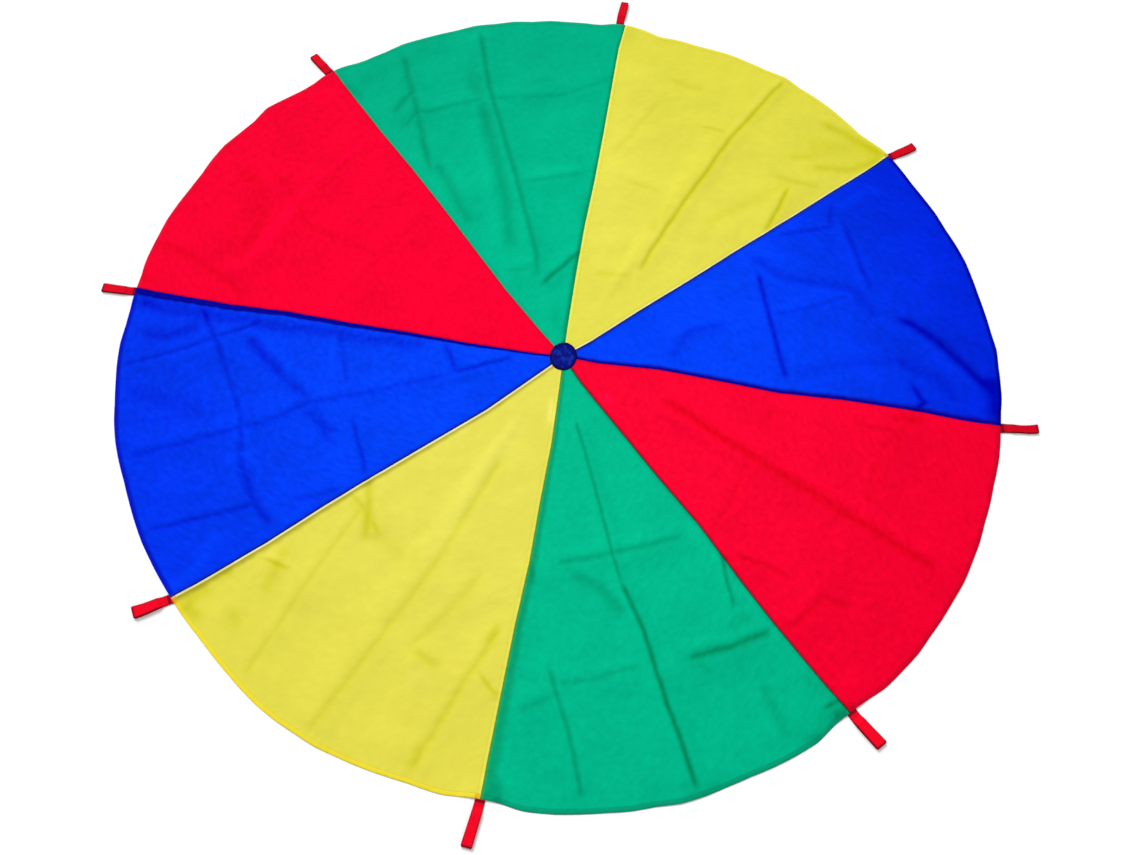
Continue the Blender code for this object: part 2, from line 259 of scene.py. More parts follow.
# Creases gore by gore, in pixels of the photograph
CREASES = (
    # First green gore
    Crease(((481, 35), (490, 90), (504, 136), (519, 188), (537, 257), (538, 277)), 0.181, 0.0066),
    Crease(((543, 286), (553, 276), (564, 267), (581, 251)), 0.257, 0.0058, -0.04),
    Crease(((485, 108), (491, 137), (500, 172), (507, 203), (511, 249)), 0.140, 0.0135, 0.03),
    Crease(((404, 57), (408, 75), (413, 94), (394, 115)), 0.155, 0.0078),
    Crease(((413, 94), (421, 127), (426, 151), (431, 172)), 0.152, 0.0073),
    Crease(((436, 163), (447, 180), (459, 206), (471, 225)), 0.123, 0.0111),
    Crease(((405, 128), (420, 114), (432, 114), (456, 107), (482, 101)), 0.100, 0.0080),
    Crease(((470, 71), (477, 97)), 0.091, 0.0115),
    Crease(((485, 101), (533, 99), (566, 96), (614, 80)), 0.050, 0.0073),
    Crease(((523, 184), (585, 175)), 0.075, 0.0075, -0.04),
    Crease(((506, 273), (538, 269)), 0.075, 0.0080),
    # First yellow gore
    Crease(((784, 82), (730, 141), (695, 189), (650, 253), (641, 271)), 0.148, 0.0058, 0.035),
    Crease(((661, 102), (612, 158)), 0.033, 0.0079),
    Crease(((700, 128), (725, 134)), 0.070, 0.0051),
    Crease(((789, 189), (766, 232)), 0.176, 0.0058),
    Crease(((772, 177), (817, 190)), 0.071, 0.0075),
    Crease(((669, 81), (707, 93)), 0.042, 0.0095),
    Crease(((623, 181), (660, 194)), 0.045, 0.0080),
    Crease(((594, 274), (630, 278)), 0.047, 0.0080),
    # First blue gore
    Crease(((778, 237), (830, 228), (831, 205)), 0.145, 0.0064),
    Crease(((748, 257), (786, 279), (852, 290), (865, 304), (875, 320)), 0.136, 0.0111),
    Crease(((843, 225), (862, 271), (872, 293)), 0.176, 0.0066, 0.05),
    Crease(((758, 274), (767, 312), (786, 380)), 0.313, 0.0059),
    Crease(((770, 318), (822, 306), (849, 297)), 0.088, 0.0064),
    Crease(((728, 326), (689, 332), (672, 360)), 0.133, 0.0095),
    Crease(
        (
            (896, 319), (911, 325), (927, 335),
            (939, 344), (957, 360), (975, 378), (988, 391),
        ),
        0.365, 0.0104, 0.06,
    ),
    Crease(((911, 384), (920, 399), (925, 403), (914, 410)), 0.377, 0.0062),
    # First red gore
    Crease(((659, 400), (682, 412), (735, 448), (811, 494), (879, 536), (936, 570)), 0.162, 0.0099),
    Crease(((917, 412), (909, 426), (884, 450), (864, 504)), 0.047, 0.0095),
    Crease(((850, 413), (864, 428), (900, 433)), 0.073, 0.0069),
    Crease(((750, 457), (726, 511), (712, 531)), 0.057, 0.0084),
    Crease(((732, 557), (767, 566), (790, 580)), 0.114, 0.0067),
    Crease(((770, 624), (798, 628)), 0.077, 0.0080),
    Crease(((791, 629), (824, 598), (849, 609)), 0.115, 0.0092),
    # Second green gore
    Crease(((576, 421), (590, 470), (601, 511), (610, 547), (621, 583)), 0.191, 0.0039),
    Crease(((556, 566), (603, 557), (683, 538)), 0.140, 0.0074),
    Crease(((621, 583), (644, 633), (663, 693), (697, 788)), 0.327, 0.0050, 0.02),
    Crease(((568, 575), (601, 589), (624, 616)), 0.129, 0.0103),
    Crease(((687, 660), (728, 649), (771, 632)), 0.275, 0.0073),
    Crease(((720, 550), (727, 580), (735, 608)), 0.213, 0.0044, 0.03),
    Crease(((530, 562), (535, 586)), 0.115, 0.0060),
    Crease(((502, 669), (526, 680), (548, 692)), 0.033, 0.0057),
    Crease(((549, 667), (555, 690), (568, 731), (583, 798)), 0.191, 0.0051),
    Crease(((556, 688), (595, 680), (641, 667)), 0.084, 0.0070),
    Crease(((517, 713), (555, 697)), 0.097, 0.0082),
    Crease(((762, 682), (788, 739)), 0.094, 0.0103, 0.02),
    Crease(((825, 710), (840, 700)), 0.220, 0.0044, 0.03),
    # Second yellow gore
    Crease(((502, 460), (463, 522), (435, 567), (379, 640), (345, 685), (310, 730)), 0.064, 0.0085),
    Crease(((502, 628), (468, 676), (412, 770)), 0.080, 0.0082),
    Crease(((362, 510), (320, 566), (244, 677)), 0.050, 0.0070),
    Crease(((262, 559), (290, 571)), 0.104, 0.0054, -0.04),
    Crease(((411, 650), (439, 668)), 0.090, 0.0091),
    Crease(((479, 674), (499, 700)), 0.130, 0.0048),
    Crease(((483, 574), (447, 615), (410, 647)), 0.052, 0.0095),
    Crease(((352, 494), (366, 512), (380, 536)), 0.100, 0.0060),
    Crease(((369, 475), (369, 513), (366, 541)), 0.120, 0.0082),
    # Second blue gore
    Crease(((122, 367), (212, 341), (261, 325)), 0.125, 0.0056, 0.05),
    Crease(((202, 307), (215, 337), (227, 371), (241, 416), (244, 454)), 0.201, 0.0062),
    Crease(((240, 454), (254, 504), (271, 526)), 0.214, 0.0089),
    Crease(((248, 338), (266, 362), (282, 376), (296, 388), (312, 400)), 0.162, 0.0117, -0.05),
    Crease(((301, 408), (316, 418), (334, 436)), 0.160, 0.0116),
    Crease(((231, 337), (248, 330), (261, 322)), 0.133, 0.0055),
    Crease(((341, 333), (348, 385)), 0.119, 0.0063),
    Crease(((445, 344), (457, 373), (513, 358)), 0.219, 0.0056),
    Crease(((129, 459), (267, 423), (309, 405), (351, 398), (448, 376)), 0.134, 0.0080),
    Crease(((148, 531), (256, 506)), 0.167, 0.0063),
    Crease(((353, 420), (367, 475)), 0.203, 0.0054),
    Crease(((294, 502), (343, 490)), 0.126, 0.0080),
    # Second red gore
    Crease(((240, 169), (262, 191), (265, 215), (258, 234), (239, 257)), 0.082, 0.0150),
    Crease(((278, 175), (292, 191), (306, 224), (339, 241)), 0.074, 0.0097),
    Crease(((162, 243), (190, 256), (221, 277), (246, 295)), 0.093, 0.0100),
    Crease(((359, 152), (311, 194)), 0.050, 0.0111),
    Crease(((424, 217), (338, 304)), 0.031, 0.0095),
    Crease(((339, 239), (384, 262)), 0.055, 0.0095),
)

SWELLS = (
    Swell(((868, 324), (915, 352), (960, 380), (985, 400)), 0.0030, 0.018),
    Swell(((905, 300), (950, 325), (985, 350)), 0.0016, 0.025),
    Swell(((228, 350), (290, 404), (320, 450)), 0.0018, 0.020),
    Swell(((470, 120), (487, 175), (498, 235)), 0.0016, 0.018),
    Swell(((585, 600), (622, 650)), 0.0014, 0.020),
    Swell(((720, 250), (780, 262), (840, 272)), 0.0012, 0.020),
)

# Soft strokes of painted shade, and of painted light where the tone is negative, gore by gore, in pixels
# of the photograph
SHADES = (
    # Second blue gore: painted shade in the strip beside its seam, and on its outer part
    Shade(((140, 304), (255, 323), (390, 342), (425, 347)), 0.20, 0.016),
    Shade(((138, 300), (162, 306)), 0.12, 0.014),
    Shade(((142, 332), (170, 336), (202, 325)), 0.20, 0.012),
    Shade(((130, 388), (165, 402), (205, 408)), 0.11, 0.020),
    Shade(((130, 424), (175, 418), (220, 416)), 0.07, 0.010),
    Shade(((250, 336), (268, 356), (282, 372)), 0.12, 0.012),
    Shade(((322, 420), (330, 446)), 0.08, 0.010),
    Shade(((228, 372), (236, 410), (246, 440), (250, 470)), -0.09, 0.010),
    Shade(((146, 604), (190, 574), (222, 530)), -0.10, 0.012),
    Shade(((250, 512), (262, 530)), -0.07, 0.010),
    Shade(((274, 510), (292, 522)), -0.06, 0.010),
    Shade(((360, 445), (420, 440), (470, 420)), -0.05, 0.020),
    # First blue gore: its outer part, its corner and the soft valleys
    Shade(((915, 312), (945, 331), (975, 351)), 0.02, 0.020),
    Shade(((828, 226), (842, 242)), -0.07, 0.010),
    Shade(((835, 212), (868, 190), (882, 196)), -0.09, 0.010),
    Shade(((890, 418), (925, 422)), 0.14, 0.010),
    Shade(((897, 360), (915, 372), (937, 380), (960, 402)), 0.13, 0.012),
    Shade(((994, 378), (996, 424)), 0.38, 0.021),
    Shade(((905, 345), (938, 362), (968, 392)), -0.05, 0.012),
    Shade(((790, 374), (860, 362), (920, 362)), 0.08, 0.013),
    Shade(((700, 290), (740, 280)), -0.06, 0.018),
    # First green gore
    Shade(((360, 84), (400, 62), (450, 42)), 0.05, 0.024),
    Shade(((473, 50), (480, 90), (486, 140)), 0.05, 0.012),
    Shade(((398, 101), (405, 96)), 0.06, 0.014),
    Shade(((520, 84), (550, 80)), 0.05, 0.014),
    Shade(((530, 162), (590, 158)), 0.05, 0.012),
    Shade(((412, 132), (432, 158)), 0.05, 0.010),
    Shade(((558, 336), (554, 312)), 0.15, 0.011),
    Shade(((585, 190), (581, 222)), 0.09, 0.008),
    Shade(((345, 84), (364, 99)), 0.09, 0.012),
    # First yellow gore: its corner at the strap, and both sides of its long crease
    Shade(((884, 157), (845, 150), (806, 148)), 0.07, 0.030),
    Shade(((884, 156), (862, 145), (822, 123)), 0.13, 0.011),
    Shade(((812, 158), (788, 160)), 0.08, 0.010),
    Shade(((880, 161), (850, 170), (810, 169)), 0.12, 0.011),
    Shade(((640, 46), (662, 52)), -0.03, 0.012),
    Shade(((705, 226), (745, 204), (788, 184)), 0.05, 0.012),
    Shade(((735, 125), (690, 185), (650, 235)), 0.04, 0.014),
    Shade(((600, 250), (618, 160), (640, 60)), -0.03, 0.050),
    # Second green gore
    Shade(((842, 708), (818, 730)), 0.08, 0.018),
    Shade(((847, 703), (834, 718)), 0.20, 0.010),
    Shade(((820, 732), (804, 742)), 0.15, 0.010),
    Shade(((496, 780), (498, 804)), 0.16, 0.011),
    Shade(((690, 798), (722, 782)), 0.08, 0.010),
    Shade(((728, 632), (752, 616)), 0.10, 0.012),
    Shade(((800, 672), (835, 705)), 0.07, 0.016),
    Shade(((668, 657), (700, 650), (728, 645)), 0.05, 0.012),
    Shade(((550, 705), (600, 698)), -0.06, 0.018),
    Shade(((565, 700), (590, 780)), -0.04, 0.030),
    Shade(((622, 594), (634, 616)), -0.07, 0.010),
    Shade(((552, 398), (551, 424)), -0.15, 0.008),
    Shade(((688, 668), (704, 664)), 0.08, 0.008),
    # Second yellow gore
    Shade(((184, 602), (212, 588)), 0.12, 0.016),
    Shade(((186, 606), (200, 618)), 0.12, 0.013),
    Shade(((214, 578), (233, 571)), 0.11, 0.010),
    Shade(((346, 498), (372, 524), (405, 562)), 0.04, 0.014),
    Shade(((288, 546), (262, 594)), 0.09, 0.012),
    Shade(((230, 612), (238, 628)), 0.07, 0.014),
    Shade(((405, 678), (432, 680)), -0.04, 0.016),
    Shade(((420, 745), (406, 772)), 0.06, 0.010),
    Shade(((498, 622), (488, 644)), 0.07, 0.010),
    Shade(((520, 420), (480, 470), (430, 560)), -0.03, 0.022),
    # Second red gore: the light ridge across it and the soft dip beside it
    Shade(((138, 275), (152, 280)), 0.12, 0.010),
    Shade(((361, 146), (342, 160), (302, 196), (278, 227), (252, 256), (235, 272)), -0.11, 0.011),
    Shade(((250, 195), (243, 225), (215, 262)), 0.06, 0.018),
    # First red gore
    Shade(((600, 394), (612, 403)), -0.30, 0.008),
    Shade(((779, 400), (757, 436)), 0.06, 0.012),
    Shade(((905, 430), (868, 508)), 0.05, 0.012),
    Shade(((700, 425), (780, 470), (860, 515)), 0.04, 0.010),
)

# How far each seam strays anticlockwise of its straight line, in millimetres, at these shares of
# the radius. A script measured them on the photograph
STRAY_SHARES = (0.08, 0.22, 0.36, 0.50, 0.64, 0.78, 0.92)
SEAM_STRAYS = (
    (3, 6, 7, 4, 4, 5, 6),
    (-4, -2, -3, -2, -3, -2, -2),
    (-3, 5, 1, -5, 3, 4, 0),
    (-5, -4, -3, 1, -4, -6, -3),
    (4, 9, 8, 9, 4, 2, 0),
    (4, 11, 8, 5, 4, 6, 3),
    (3, 4, 1, 1, -2, 3, 1),
    (4, 7, 4, 1, 0, 2, 1),
)

# Radius of the rim in thousandths of the canopy's, anticlockwise through each gore. A script
# measured them on the photograph
RIM_THOUSANDTHS = (
    (989, 989, 994, 995, 998, 996, 1000, 998, 1000, 996, 996, 996, 997, 991, 990, 989),
    (996, 994, 990, 993, 997, 998, 998, 1004, 997, 996, 996, 992, 988, 988, 984, 991),
    (1005, 1005, 1004, 1004, 1007, 1003, 1002, 1001, 1002, 1004, 1002, 999, 1000, 998, 997, 1000),
    (1004, 1005, 1008, 1008, 1009, 1006, 1006, 1005, 1006, 1004, 1003, 1000, 1000, 999, 1001, 1003),
    (1009, 1010, 1013, 1015, 1015, 1015, 1017, 1016, 1020, 1018, 1014, 1012, 1013, 1013, 1012, 1007),
    (1003, 1001, 1000, 1002, 1005, 1009, 1013, 1014, 1013, 1014, 1011, 1009, 1006, 1004, 1006, 1008),
    (1001, 999, 1000, 1004, 1004, 1003, 1003, 1005, 1005, 1003, 1000, 1000, 1001, 1002, 1001, 1001),
    (999, 995, 997, 1004, 1013, 1005, 1007, 1011, 1008, 1003, 1003, 1005, 1007, 1005, 1005, 1006),
)


@dataclass(frozen=True)
class SmoothNoise:
    """Soft random hills that are the same on every run, from -1 to 1."""

    seed: int
    pitch: float
    cells: int = 96

    def at(self, points: Array) -> Array:
        """Read the hills.

        Args:
            points: Rows of x and y in metres.

        Returns:
            One value for each point.
        """
        table = np.random.default_rng(self.seed).uniform(-1, 1, (self.cells, self.cells))
        cell = points / self.pitch + self.cells / 2
        low = np.floor(cell).astype(int)
        part = cell - low
        part = part * part * (3 - 2 * part)
        x0, y0 = low[:, 0] % self.cells, low[:, 1] % self.cells
        x1, y1 = (x0 + 1) % self.cells, (y0 + 1) % self.cells
        under = table[x0, y0] * (1 - part[:, 0]) + table[x1, y0] * part[:, 0]
        over = table[x0, y1] * (1 - part[:, 0]) + table[x1, y1] * part[:, 0]
        return under * (1 - part[:, 1]) + over * part[:, 1]


@dataclass
class CanopyPlan:
    """The canopy's outline and seams, seen from above.

    Beside a seam the rim keeps the CAD model's circle up to ease_from, and from ease_to on it
    is the photograph's.
    """

    ease_from: float = 0.012
    ease_to: float = 0.085
    rim_bearings: Array = field(init=False)
    rim_radii: Array = field(init=False)

    def __post_init__(self) -> None:
        """Lay out the rim as one closed run of radii."""
        step = GORE_ANGLE / len(RIM_THOUSANDTHS[0])
        bearings, radii = [], []
        for index, row in enumerate(RIM_THOUSANDTHS):
            start = self.seam_angle(index + 1)
            bearings += [(start + place * step) % (2 * math.pi) for place in range(len(row))]
            radii += [CANOPY_RADIUS * value / 1000 for value in row]
        order = np.argsort(bearings)
        self.rim_bearings = np.array(bearings)[order]
        self.rim_radii = np.array(radii)[order]

    @staticmethod
    def seam_angle(number: int) -> float:
        """Bearing of a seam's straight line, in radians."""
        return math.pi / 2 - (number - 1) * GORE_ANGLE

    @staticmethod
    def other_seam(number: int) -> int:
        """Number of a gore's anticlockwise seam."""
        return (number - 2) % GORE_COUNT + 1

    def seam_bearing(self, number: int, radius: Array) -> Array:
        """Bearing of a seam as it lies.

        Args:
            number: The seam.
            radius: Distances from the canopy's middle.

        Returns:
            One bearing in radians for each distance.
        """
        places = np.array(STRAY_SHARES) * CANOPY_RADIUS
        strays = np.array(SEAM_STRAYS[number - 1]) / 1000
        places = np.concatenate(([0.0], places, [CANOPY_RADIUS]))
        strays = np.concatenate(([0.0], strays, [0.0]))
        stray = np.interp(radius, places, strays)
        return self.seam_angle(number) + stray / np.maximum(radius, PATCH_RADIUS)

    def rim(self, bearing: Array) -> Array:
        """Distance from the middle to the rim.

        Args:
            bearing: Directions in radians.

        Returns:
            One distance for each direction.
        """
        turned = np.mod(bearing, 2 * math.pi)
        measured = np.interp(turned, self.rim_bearings, self.rim_radii, period=2 * math.pi)
        off = np.mod(turned - math.pi / 2 + GORE_ANGLE / 2, GORE_ANGLE) - GORE_ANGLE / 2
        away = share_between(np.abs(off) * CANOPY_RADIUS, self.ease_from, self.ease_to)
        return CANOPY_RADIUS + (measured - CANOPY_RADIUS) * away

    def place(self, number: int, across: Array, share: Array) -> Array:
        """Place on a gore.

        Args:
            number: The gore.
            across: 0 at its clockwise seam and 1 at the other one.
            share: 0 at the canopy's middle and 1 at the rim.

        Returns:
            Rows of x and y in metres.
        """
        radius = share * CANOPY_RADIUS
        low = self.seam_bearing(number, radius)
        high = self.seam_bearing(self.other_seam(number), radius)
        high = low + np.mod(high - low, 2 * math.pi)
        bearing = low + (high - low) * across
        reach = share * self.rim(bearing)
        return np.stack([np.cos(bearing) * reach, np.sin(bearing) * reach], axis=-1)

    def place_inside(self, number: int, across: Array, inset: float) -> Array:
        """Place on a gore, a distance inside its rim."""
        return self.place(number, across, np.full(len(across), rim_share(inset)))

    def from_seam(self, number: int, points: Array) -> Array:
        """Length round the canopy from a seam to each point, anticlockwise positive."""
        radius, bearing = polar(points)
        turn = bearing - self.seam_bearing(number, radius)
        return (np.mod(turn + math.pi, 2 * math.pi) - math.pi) * radius

    def from_any_seam(self, points: Array) -> Array:
        """Length round the canopy to the nearest seam."""
        return np.min([np.abs(self.from_seam(k + 1, points)) for k in range(GORE_COUNT)], axis=0)

    def from_rim(self, points: Array) -> Array:
        """Length along the radius from each point out to the rim."""
        radius, bearing = polar(points)
        return self.rim(bearing) - radius


@dataclass
class PressedLine:
    """A line of the photograph laid on the floor, which tells how far points are from it.

    It wanders a little, as a real crease does, and fades at its ends.
    """

    pixels: tuple[Pixel, ...]
    view: PhotoView
    wander: float
    step: float = 0.004
    wander_pitch: float = 0.03
    fade: float = 0.018
    longest_fade_share: float = 0.25
    beyond_end: float = 0.008
    line: Array = field(init=False)
    places: Array = field(init=False)
    length: float = field(init=False)

    def __post_init__(self) -> None:
        """Lay the line on the floor and let it wander."""
        corners = self.view.floor_points(self.pixels)
        self.length = float(lengths_along(corners)[-1])
        self.places = np.linspace(0.0, self.length, max(3, int(self.length / self.step)))
        line = points_along(corners, self.places)
        noise = SmoothNoise(11, self.wander_pitch)
        drift = np.stack([noise.at(line), noise.at(line[:, ::-1])], axis=-1)
        self.line = line + drift * self.wander

    def normals(self) -> Array:
        """Unit vectors to the left of the line, one for each of its points."""
        run = directions(np.gradient(self.line, axis=0))
        return np.stack([-run[:, 1], run[:, 0]], axis=-1)

    def distance(self, points: Array, limit: float) -> tuple[Array, ...]:
        """Measure from the line.

        Args:
            points: Rows of x and y.
            limit: Points farther than this are left out.

        Returns:
            Which points are near, how far they are, how strong the line is beside them, and 1
            on its right side or -1 on its left.
        """
        low, high = self.line.min(0) - limit, self.line.max(0) + limit
        near = np.flatnonzero(np.all((points > low) & (points < high), axis=1))
        away = np.full(len(near), np.inf)
        along = np.zeros(len(near))
        side = np.ones(len(near))
        for start, end, place in zip(self.line[:-1], self.line[1:], self.places[:-1]):
            run = end - start
            size = float(run @ run)
            rel = points[near] - start
            part = np.clip(rel @ run / size, 0.0, 1.0)
            gap = np.hypot(*(rel - part[:, None] * run).T)
            closer = gap < away
            away[closer] = gap[closer]
            along[closer] = place + part[closer] * math.sqrt(size)
            side[closer] = np.where(run[0] * rel[closer, 1] > run[1] * rel[closer, 0], -1.0, 1.0)
        fade = min(self.fade, self.length * self.longest_fade_share)
        strong = share_between(along, -self.beyond_end, fade)
        strong *= share_between(self.length - along, -self.beyond_end, fade)
        keep = away < limit
        return near[keep], away[keep], strong[keep], side[keep]


@dataclass(frozen=True)
class StorageFolds:
    """The broad folds down the middle of each gore and across it.

    Rises are shares of the CAD model's, one for each gore. Places and widths are shares of the
    radius, and of the gore's angle for the middle fold.
    """

    middle_rises: tuple[float, ...] = (0.55, 0.45, 0.30, 0.60, 0.70, 0.45, 0.45, 0.30)
    inner_rises: tuple[float, ...] = (0.30, 0.30, 0.60, 0.35, 0.55, 0.35, 0.50, 0.25)
    outer_rises: tuple[float, ...] = (0.50, 0.40, 0.40, 0.45, 0.65, 0.40, 0.60, 0.35)
    seam_rise: float = 0.35
    inner_place: float = 0.50
    outer_place: float = 0.76
    cross_half_width: float = 0.065
    middle_half_width: float = 0.11
    middle_start: float = 0.12
    middle_full: float = 0.30

    def at(self, points: Array) -> Array:
        """Height of the folds.

        Args:
            points: Rows of x and y.

        Returns:
            One height in metres for each point.
        """
        radius, bearing = polar(points)
        turn = np.mod(bearing - math.pi / 2, 2 * math.pi)
        gore = (-np.floor(turn / GORE_ANGLE).astype(int)) % GORE_COUNT
        across = np.mod(turn, GORE_ANGLE) / GORE_ANGLE
        share = radius * np.cos((across - 0.5) * GORE_ANGLE) / CANOPY_RADIUS
        inside = np.sin(math.pi * across)
        lift = np.zeros(len(points))
        inner, outer = (self.inner_rises, self.inner_place), (self.outer_rises, self.outer_place)
        for rises, place in (inner, outer):
            rise = self.seam_rise + (np.array(rises)[gore] - self.seam_rise) * inside
            lift = np.maximum(lift, rise * hump(share - place, self.cross_half_width))
        middle = hump(across - 0.5, self.middle_half_width)
        begun = share_between(share, self.middle_start, self.middle_full)
        middle *= begun * np.array(self.middle_rises)[gore]
        return FOLD_RISE * np.maximum(lift, middle)


@dataclass(frozen=True)
class Press:
    """How a crease is shaped across: depths in metres, and widths in shares of its reach."""

    least: float = 0.0006
    gain: float = 0.012
    deepest: float = 0.0032
    ridge_rise: float = 1.15
    ridge_width: float = 3.6
    groove_width: float = 1.15
    groove_power: float = 1.6
    shade_width: float = 1.1
    bright_place: float = 2.3
    limit: float = 8.0


@dataclass(frozen=True)
class Ripples:
    """Small ripples that a row of stitches draws up: their length, height and reach in metres."""

    length: float
    rise: float
    reach: float

    def at(self, along: Array, away: Array, phase: Array) -> Array:
        """Height of the ripples, at lengths along the stitches and away from them."""
        wave = np.sin(along / self.length * 2 * math.pi + phase)
        return self.rise * (wave * np.exp(-away / self.reach))


@dataclass
class Relief:
    """Height of the cloth over the floor, wherever a point of it lies.

    Hills and facets are rows of a seed, a pitch and a height. calm is the share of folds and
    waves that is left at a seam or the rim, and seam_press that of a crease at a seam. The
    cloth is calm under the patch, and lower in the band that bends.
    """

    plan: CanopyPlan
    view: PhotoView
    press: Press = Press()
    folds: StorageFolds = StorageFolds()
    seam_ripples: Ripples = Ripples(0.0145, 0.00032, 0.011)
    hem_ripples: Ripples = Ripples(0.0175, 0.00034, 0.010)
    crease_wander: float = 0.0012
    soft_wander: float = 0.004
    hills: tuple[tuple[int, float, float], ...] = ((3, 0.085, 0.0011), (5, 0.038, 0.0005))
    facets: tuple[tuple[int, float, float], ...] = ((7, 0.060, 0.0009), (9, 0.027, 0.0005))
    wave_base: float = 0.0006
    calm: float = 0.35
    seam_dip: float = 0.0006
    bend_crest: float = 0.0026
    bend_lowered: float = 0.8
    patch_room: float = 0.0003
    seam_press: float = 0.6
    ply_room: float = 0.0001
    ply_margin: float = 0.004
    creases: list[tuple[Crease, PressedLine]] = field(init=False)
    swells: list[tuple[Swell, PressedLine]] = field(init=False)
    shades: list[tuple[Shade, PressedLine]] = field(init=False)
    handles: list["StrapPlace"] = field(init=False)

    def __post_init__(self) -> None:
        """Lay every crease, swell and soft stroke on the floor."""
        self.creases = self.laid(CREASES, self.crease_wander)
        self.swells = self.laid(SWELLS, self.soft_wander)
        self.shades = self.laid(SHADES, self.soft_wander)
        self.handles = [StrapPlace(number) for number in range(1, GORE_COUNT + 1)]

    def laid(self, strokes: tuple, wander: float) -> list[tuple]:
        """Pair each stroke with its line on the floor."""
        return [(stroke, PressedLine(stroke.line, self.view, wander)) for stroke in strokes]

    def pressed(self, points: Array) -> tuple[Array, Array]:
        """Height, painted shade and painted light that creases, swells and soft strokes give.

        Args:
            points: Rows of x and y.

        Returns:
            Heights in metres, and the painted shade of each point, less than 0 where light is painted.
        """
        # Painted shade and painted light, which go into the cloth's colour
        lift, dark, painted_light = np.zeros(len(points)), np.zeros(len(points)), np.zeros(len(points))
        press = self.press
        for crease, line in self.creases:
            reach = crease.reach
            depth = min(press.deepest, press.least + press.gain * crease.mark)
            near, away, strong, side = line.distance(points, reach * press.limit)
            ridge = press.ridge_rise * depth * bell(away, reach * press.ridge_width)
            groove = depth * bell(away, reach * press.groove_width, press.groove_power)
            lift[near] += (ridge - groove) * strong
            # Painted shade along the crease
            shade = crease.mark * bell(away, reach * press.shade_width) * strong
            dark[near] = np.maximum(dark[near], shade)
            # Painted light along one flank of the crease
            flank = away * side * math.copysign(1.0, crease.light) - reach * press.bright_place
            painted_light[near] += abs(crease.light) * bell(flank, reach) * strong
        for swell, line in self.swells:
            near, away, strong, _ = line.distance(points, limit=swell.reach * 3)
            lift[near] += swell.rise * bell(away, swell.reach) * strong
        # Soft strokes of painted shade, or of painted light where their tone is negative
        for soft, line in self.shades:
            near, away, strong, _ = line.distance(points, limit=soft.reach * 3)
            painted_light[near] -= soft.tone * bell(away, soft.reach) * strong
        return lift, dark - painted_light

    def waves(self, points: Array) -> Array:
        """Height of the cloth's own unevenness: soft hills and faint facets."""
        hills, facets = (
            [rise * SmoothNoise(seed, pitch).at(points) for seed, pitch, rise in rows]
            for rows in (self.hills, self.facets)
        )
        return sum(hills) + sum(np.abs(facet) for facet in facets) + self.wave_base

    def puckers(self, points: Array) -> Array:
        """Height of the small ripples that the stitching draws up beside seams and hem."""
        radius, bearing = polar(points)
        phase = 2.5 * SmoothNoise(13, pitch=0.045).at(points)
        seam = self.seam_ripples.at(radius, self.plan.from_any_seam(points), phase)
        from_hem = np.abs(self.plan.from_rim(points) - HEM_WIDTH)
        hem = self.hem_ripples.at(bearing * CANOPY_RADIUS, from_hem, phase)
        return (seam + hem) * (0.5 + 0.5 * SmoothNoise(17, pitch=0.11).at(points))

    def from_tails(self, points: Array) -> Array:
        """Distance of each point from the nearest strap end that is sewn under the rim."""
        nearest = np.full(len(points), 1.0)
        for place in self.handles:
            rel = points - np.array(place.hinge[:2])
            along = rel @ np.array(place.along[:2])
            beside = rel @ np.array(place.beside[:2])
            outside_x = np.maximum(0.0, -along - place.rim_to_hinge - TAIL_LENGTH)
            outside_y = np.maximum(0.0, np.abs(beside) - WEBBING_WIDTH / 2)
            nearest = np.minimum(nearest, np.hypot(outside_x, outside_y))
        return nearest

    def bends(self, points: Array) -> Array:
        """How far each point is in the band that bends when the canopy is folded, from 0 to 1."""
        rising = share_between(points[:, 1], low=-0.040, high=BEND_START[1])
        return rising * (1 - share_between(points[:, 1], low=BEND_END[1], high=0.090))

    def measure(self, points: Array) -> tuple[Array, Array]:
        """Measure the underside of the gores.

        Args:
            points: Rows of x and y.

        Returns:
            Heights in metres, and the painted shade of each point, less than 0 where light is painted.
        """
        radius, _ = polar(points)
        seam, rim = self.plan.from_any_seam(points), self.plan.from_rim(points)
        free = share_between(radius, low=PATCH_RADIUS * 1.15, high=0.14)
        pressed, dark = self.pressed(points)
        calm = share_between(np.minimum(seam, rim), low=0.002, high=0.050)
        calm = self.calm + (1 - self.calm) * calm
        lift = self.folds.at(points) * calm + self.waves(points) * calm
        press = share_between(seam, low=0.002, high=0.02)
        press = self.seam_press + (1 - self.seam_press) * press
        lift += pressed * press + self.puckers(points)
        lift -= self.seam_dip * bell(seam, width=0.0028)
        lift += PLY_DROP + self.ply_room
        lift -= self.bend_lowered * self.bends(points) * np.maximum(lift - self.bend_crest, 0.0)
        lift = PLY_DROP + self.patch_room + (lift - PLY_DROP - self.patch_room) * free
        plies = (seam < SEAM_ALLOWANCE + self.ply_margin) | (rim < HEM_WIDTH + self.ply_margin)
        plies |= radius < PATCH_RADIUS + self.ply_margin
        lift = np.minimum(np.maximum(lift, np.where(plies, PLY_DROP, BARE_LIFT)), CREST_LIMIT)
        cover = TAIL_COVER * (1 - share_between(self.from_tails(points), low=0.0015, high=0.045))
        return np.maximum(lift, cover + PLY_DROP), dark * free


@dataclass(frozen=True)
class StrapShape:
    """How one strap lies in the photograph.

    reach is a share of the longest one's, offset is in widths of the webbing, anticlockwise of
    the seam, yaw is in degrees, and gap is a share of the CAD model's opening. widths are
    shares of the full one at root, middle and tip, and bows are millimetres to the side. tone
    scales the webbing's colour: painted shade, deeper on some straps than others.
    """

    reach: float
    offset: float
    yaw: float
    gap: float
    tone: float
    widths: tuple[float, float, float]
    bows: tuple[float, float, float, float]
    width_places: tuple[float, ...] = (0.0, 0.5, 1.0)
    bow_places: tuple[float, ...] = (0.0, 0.35, 0.65, 1.0)


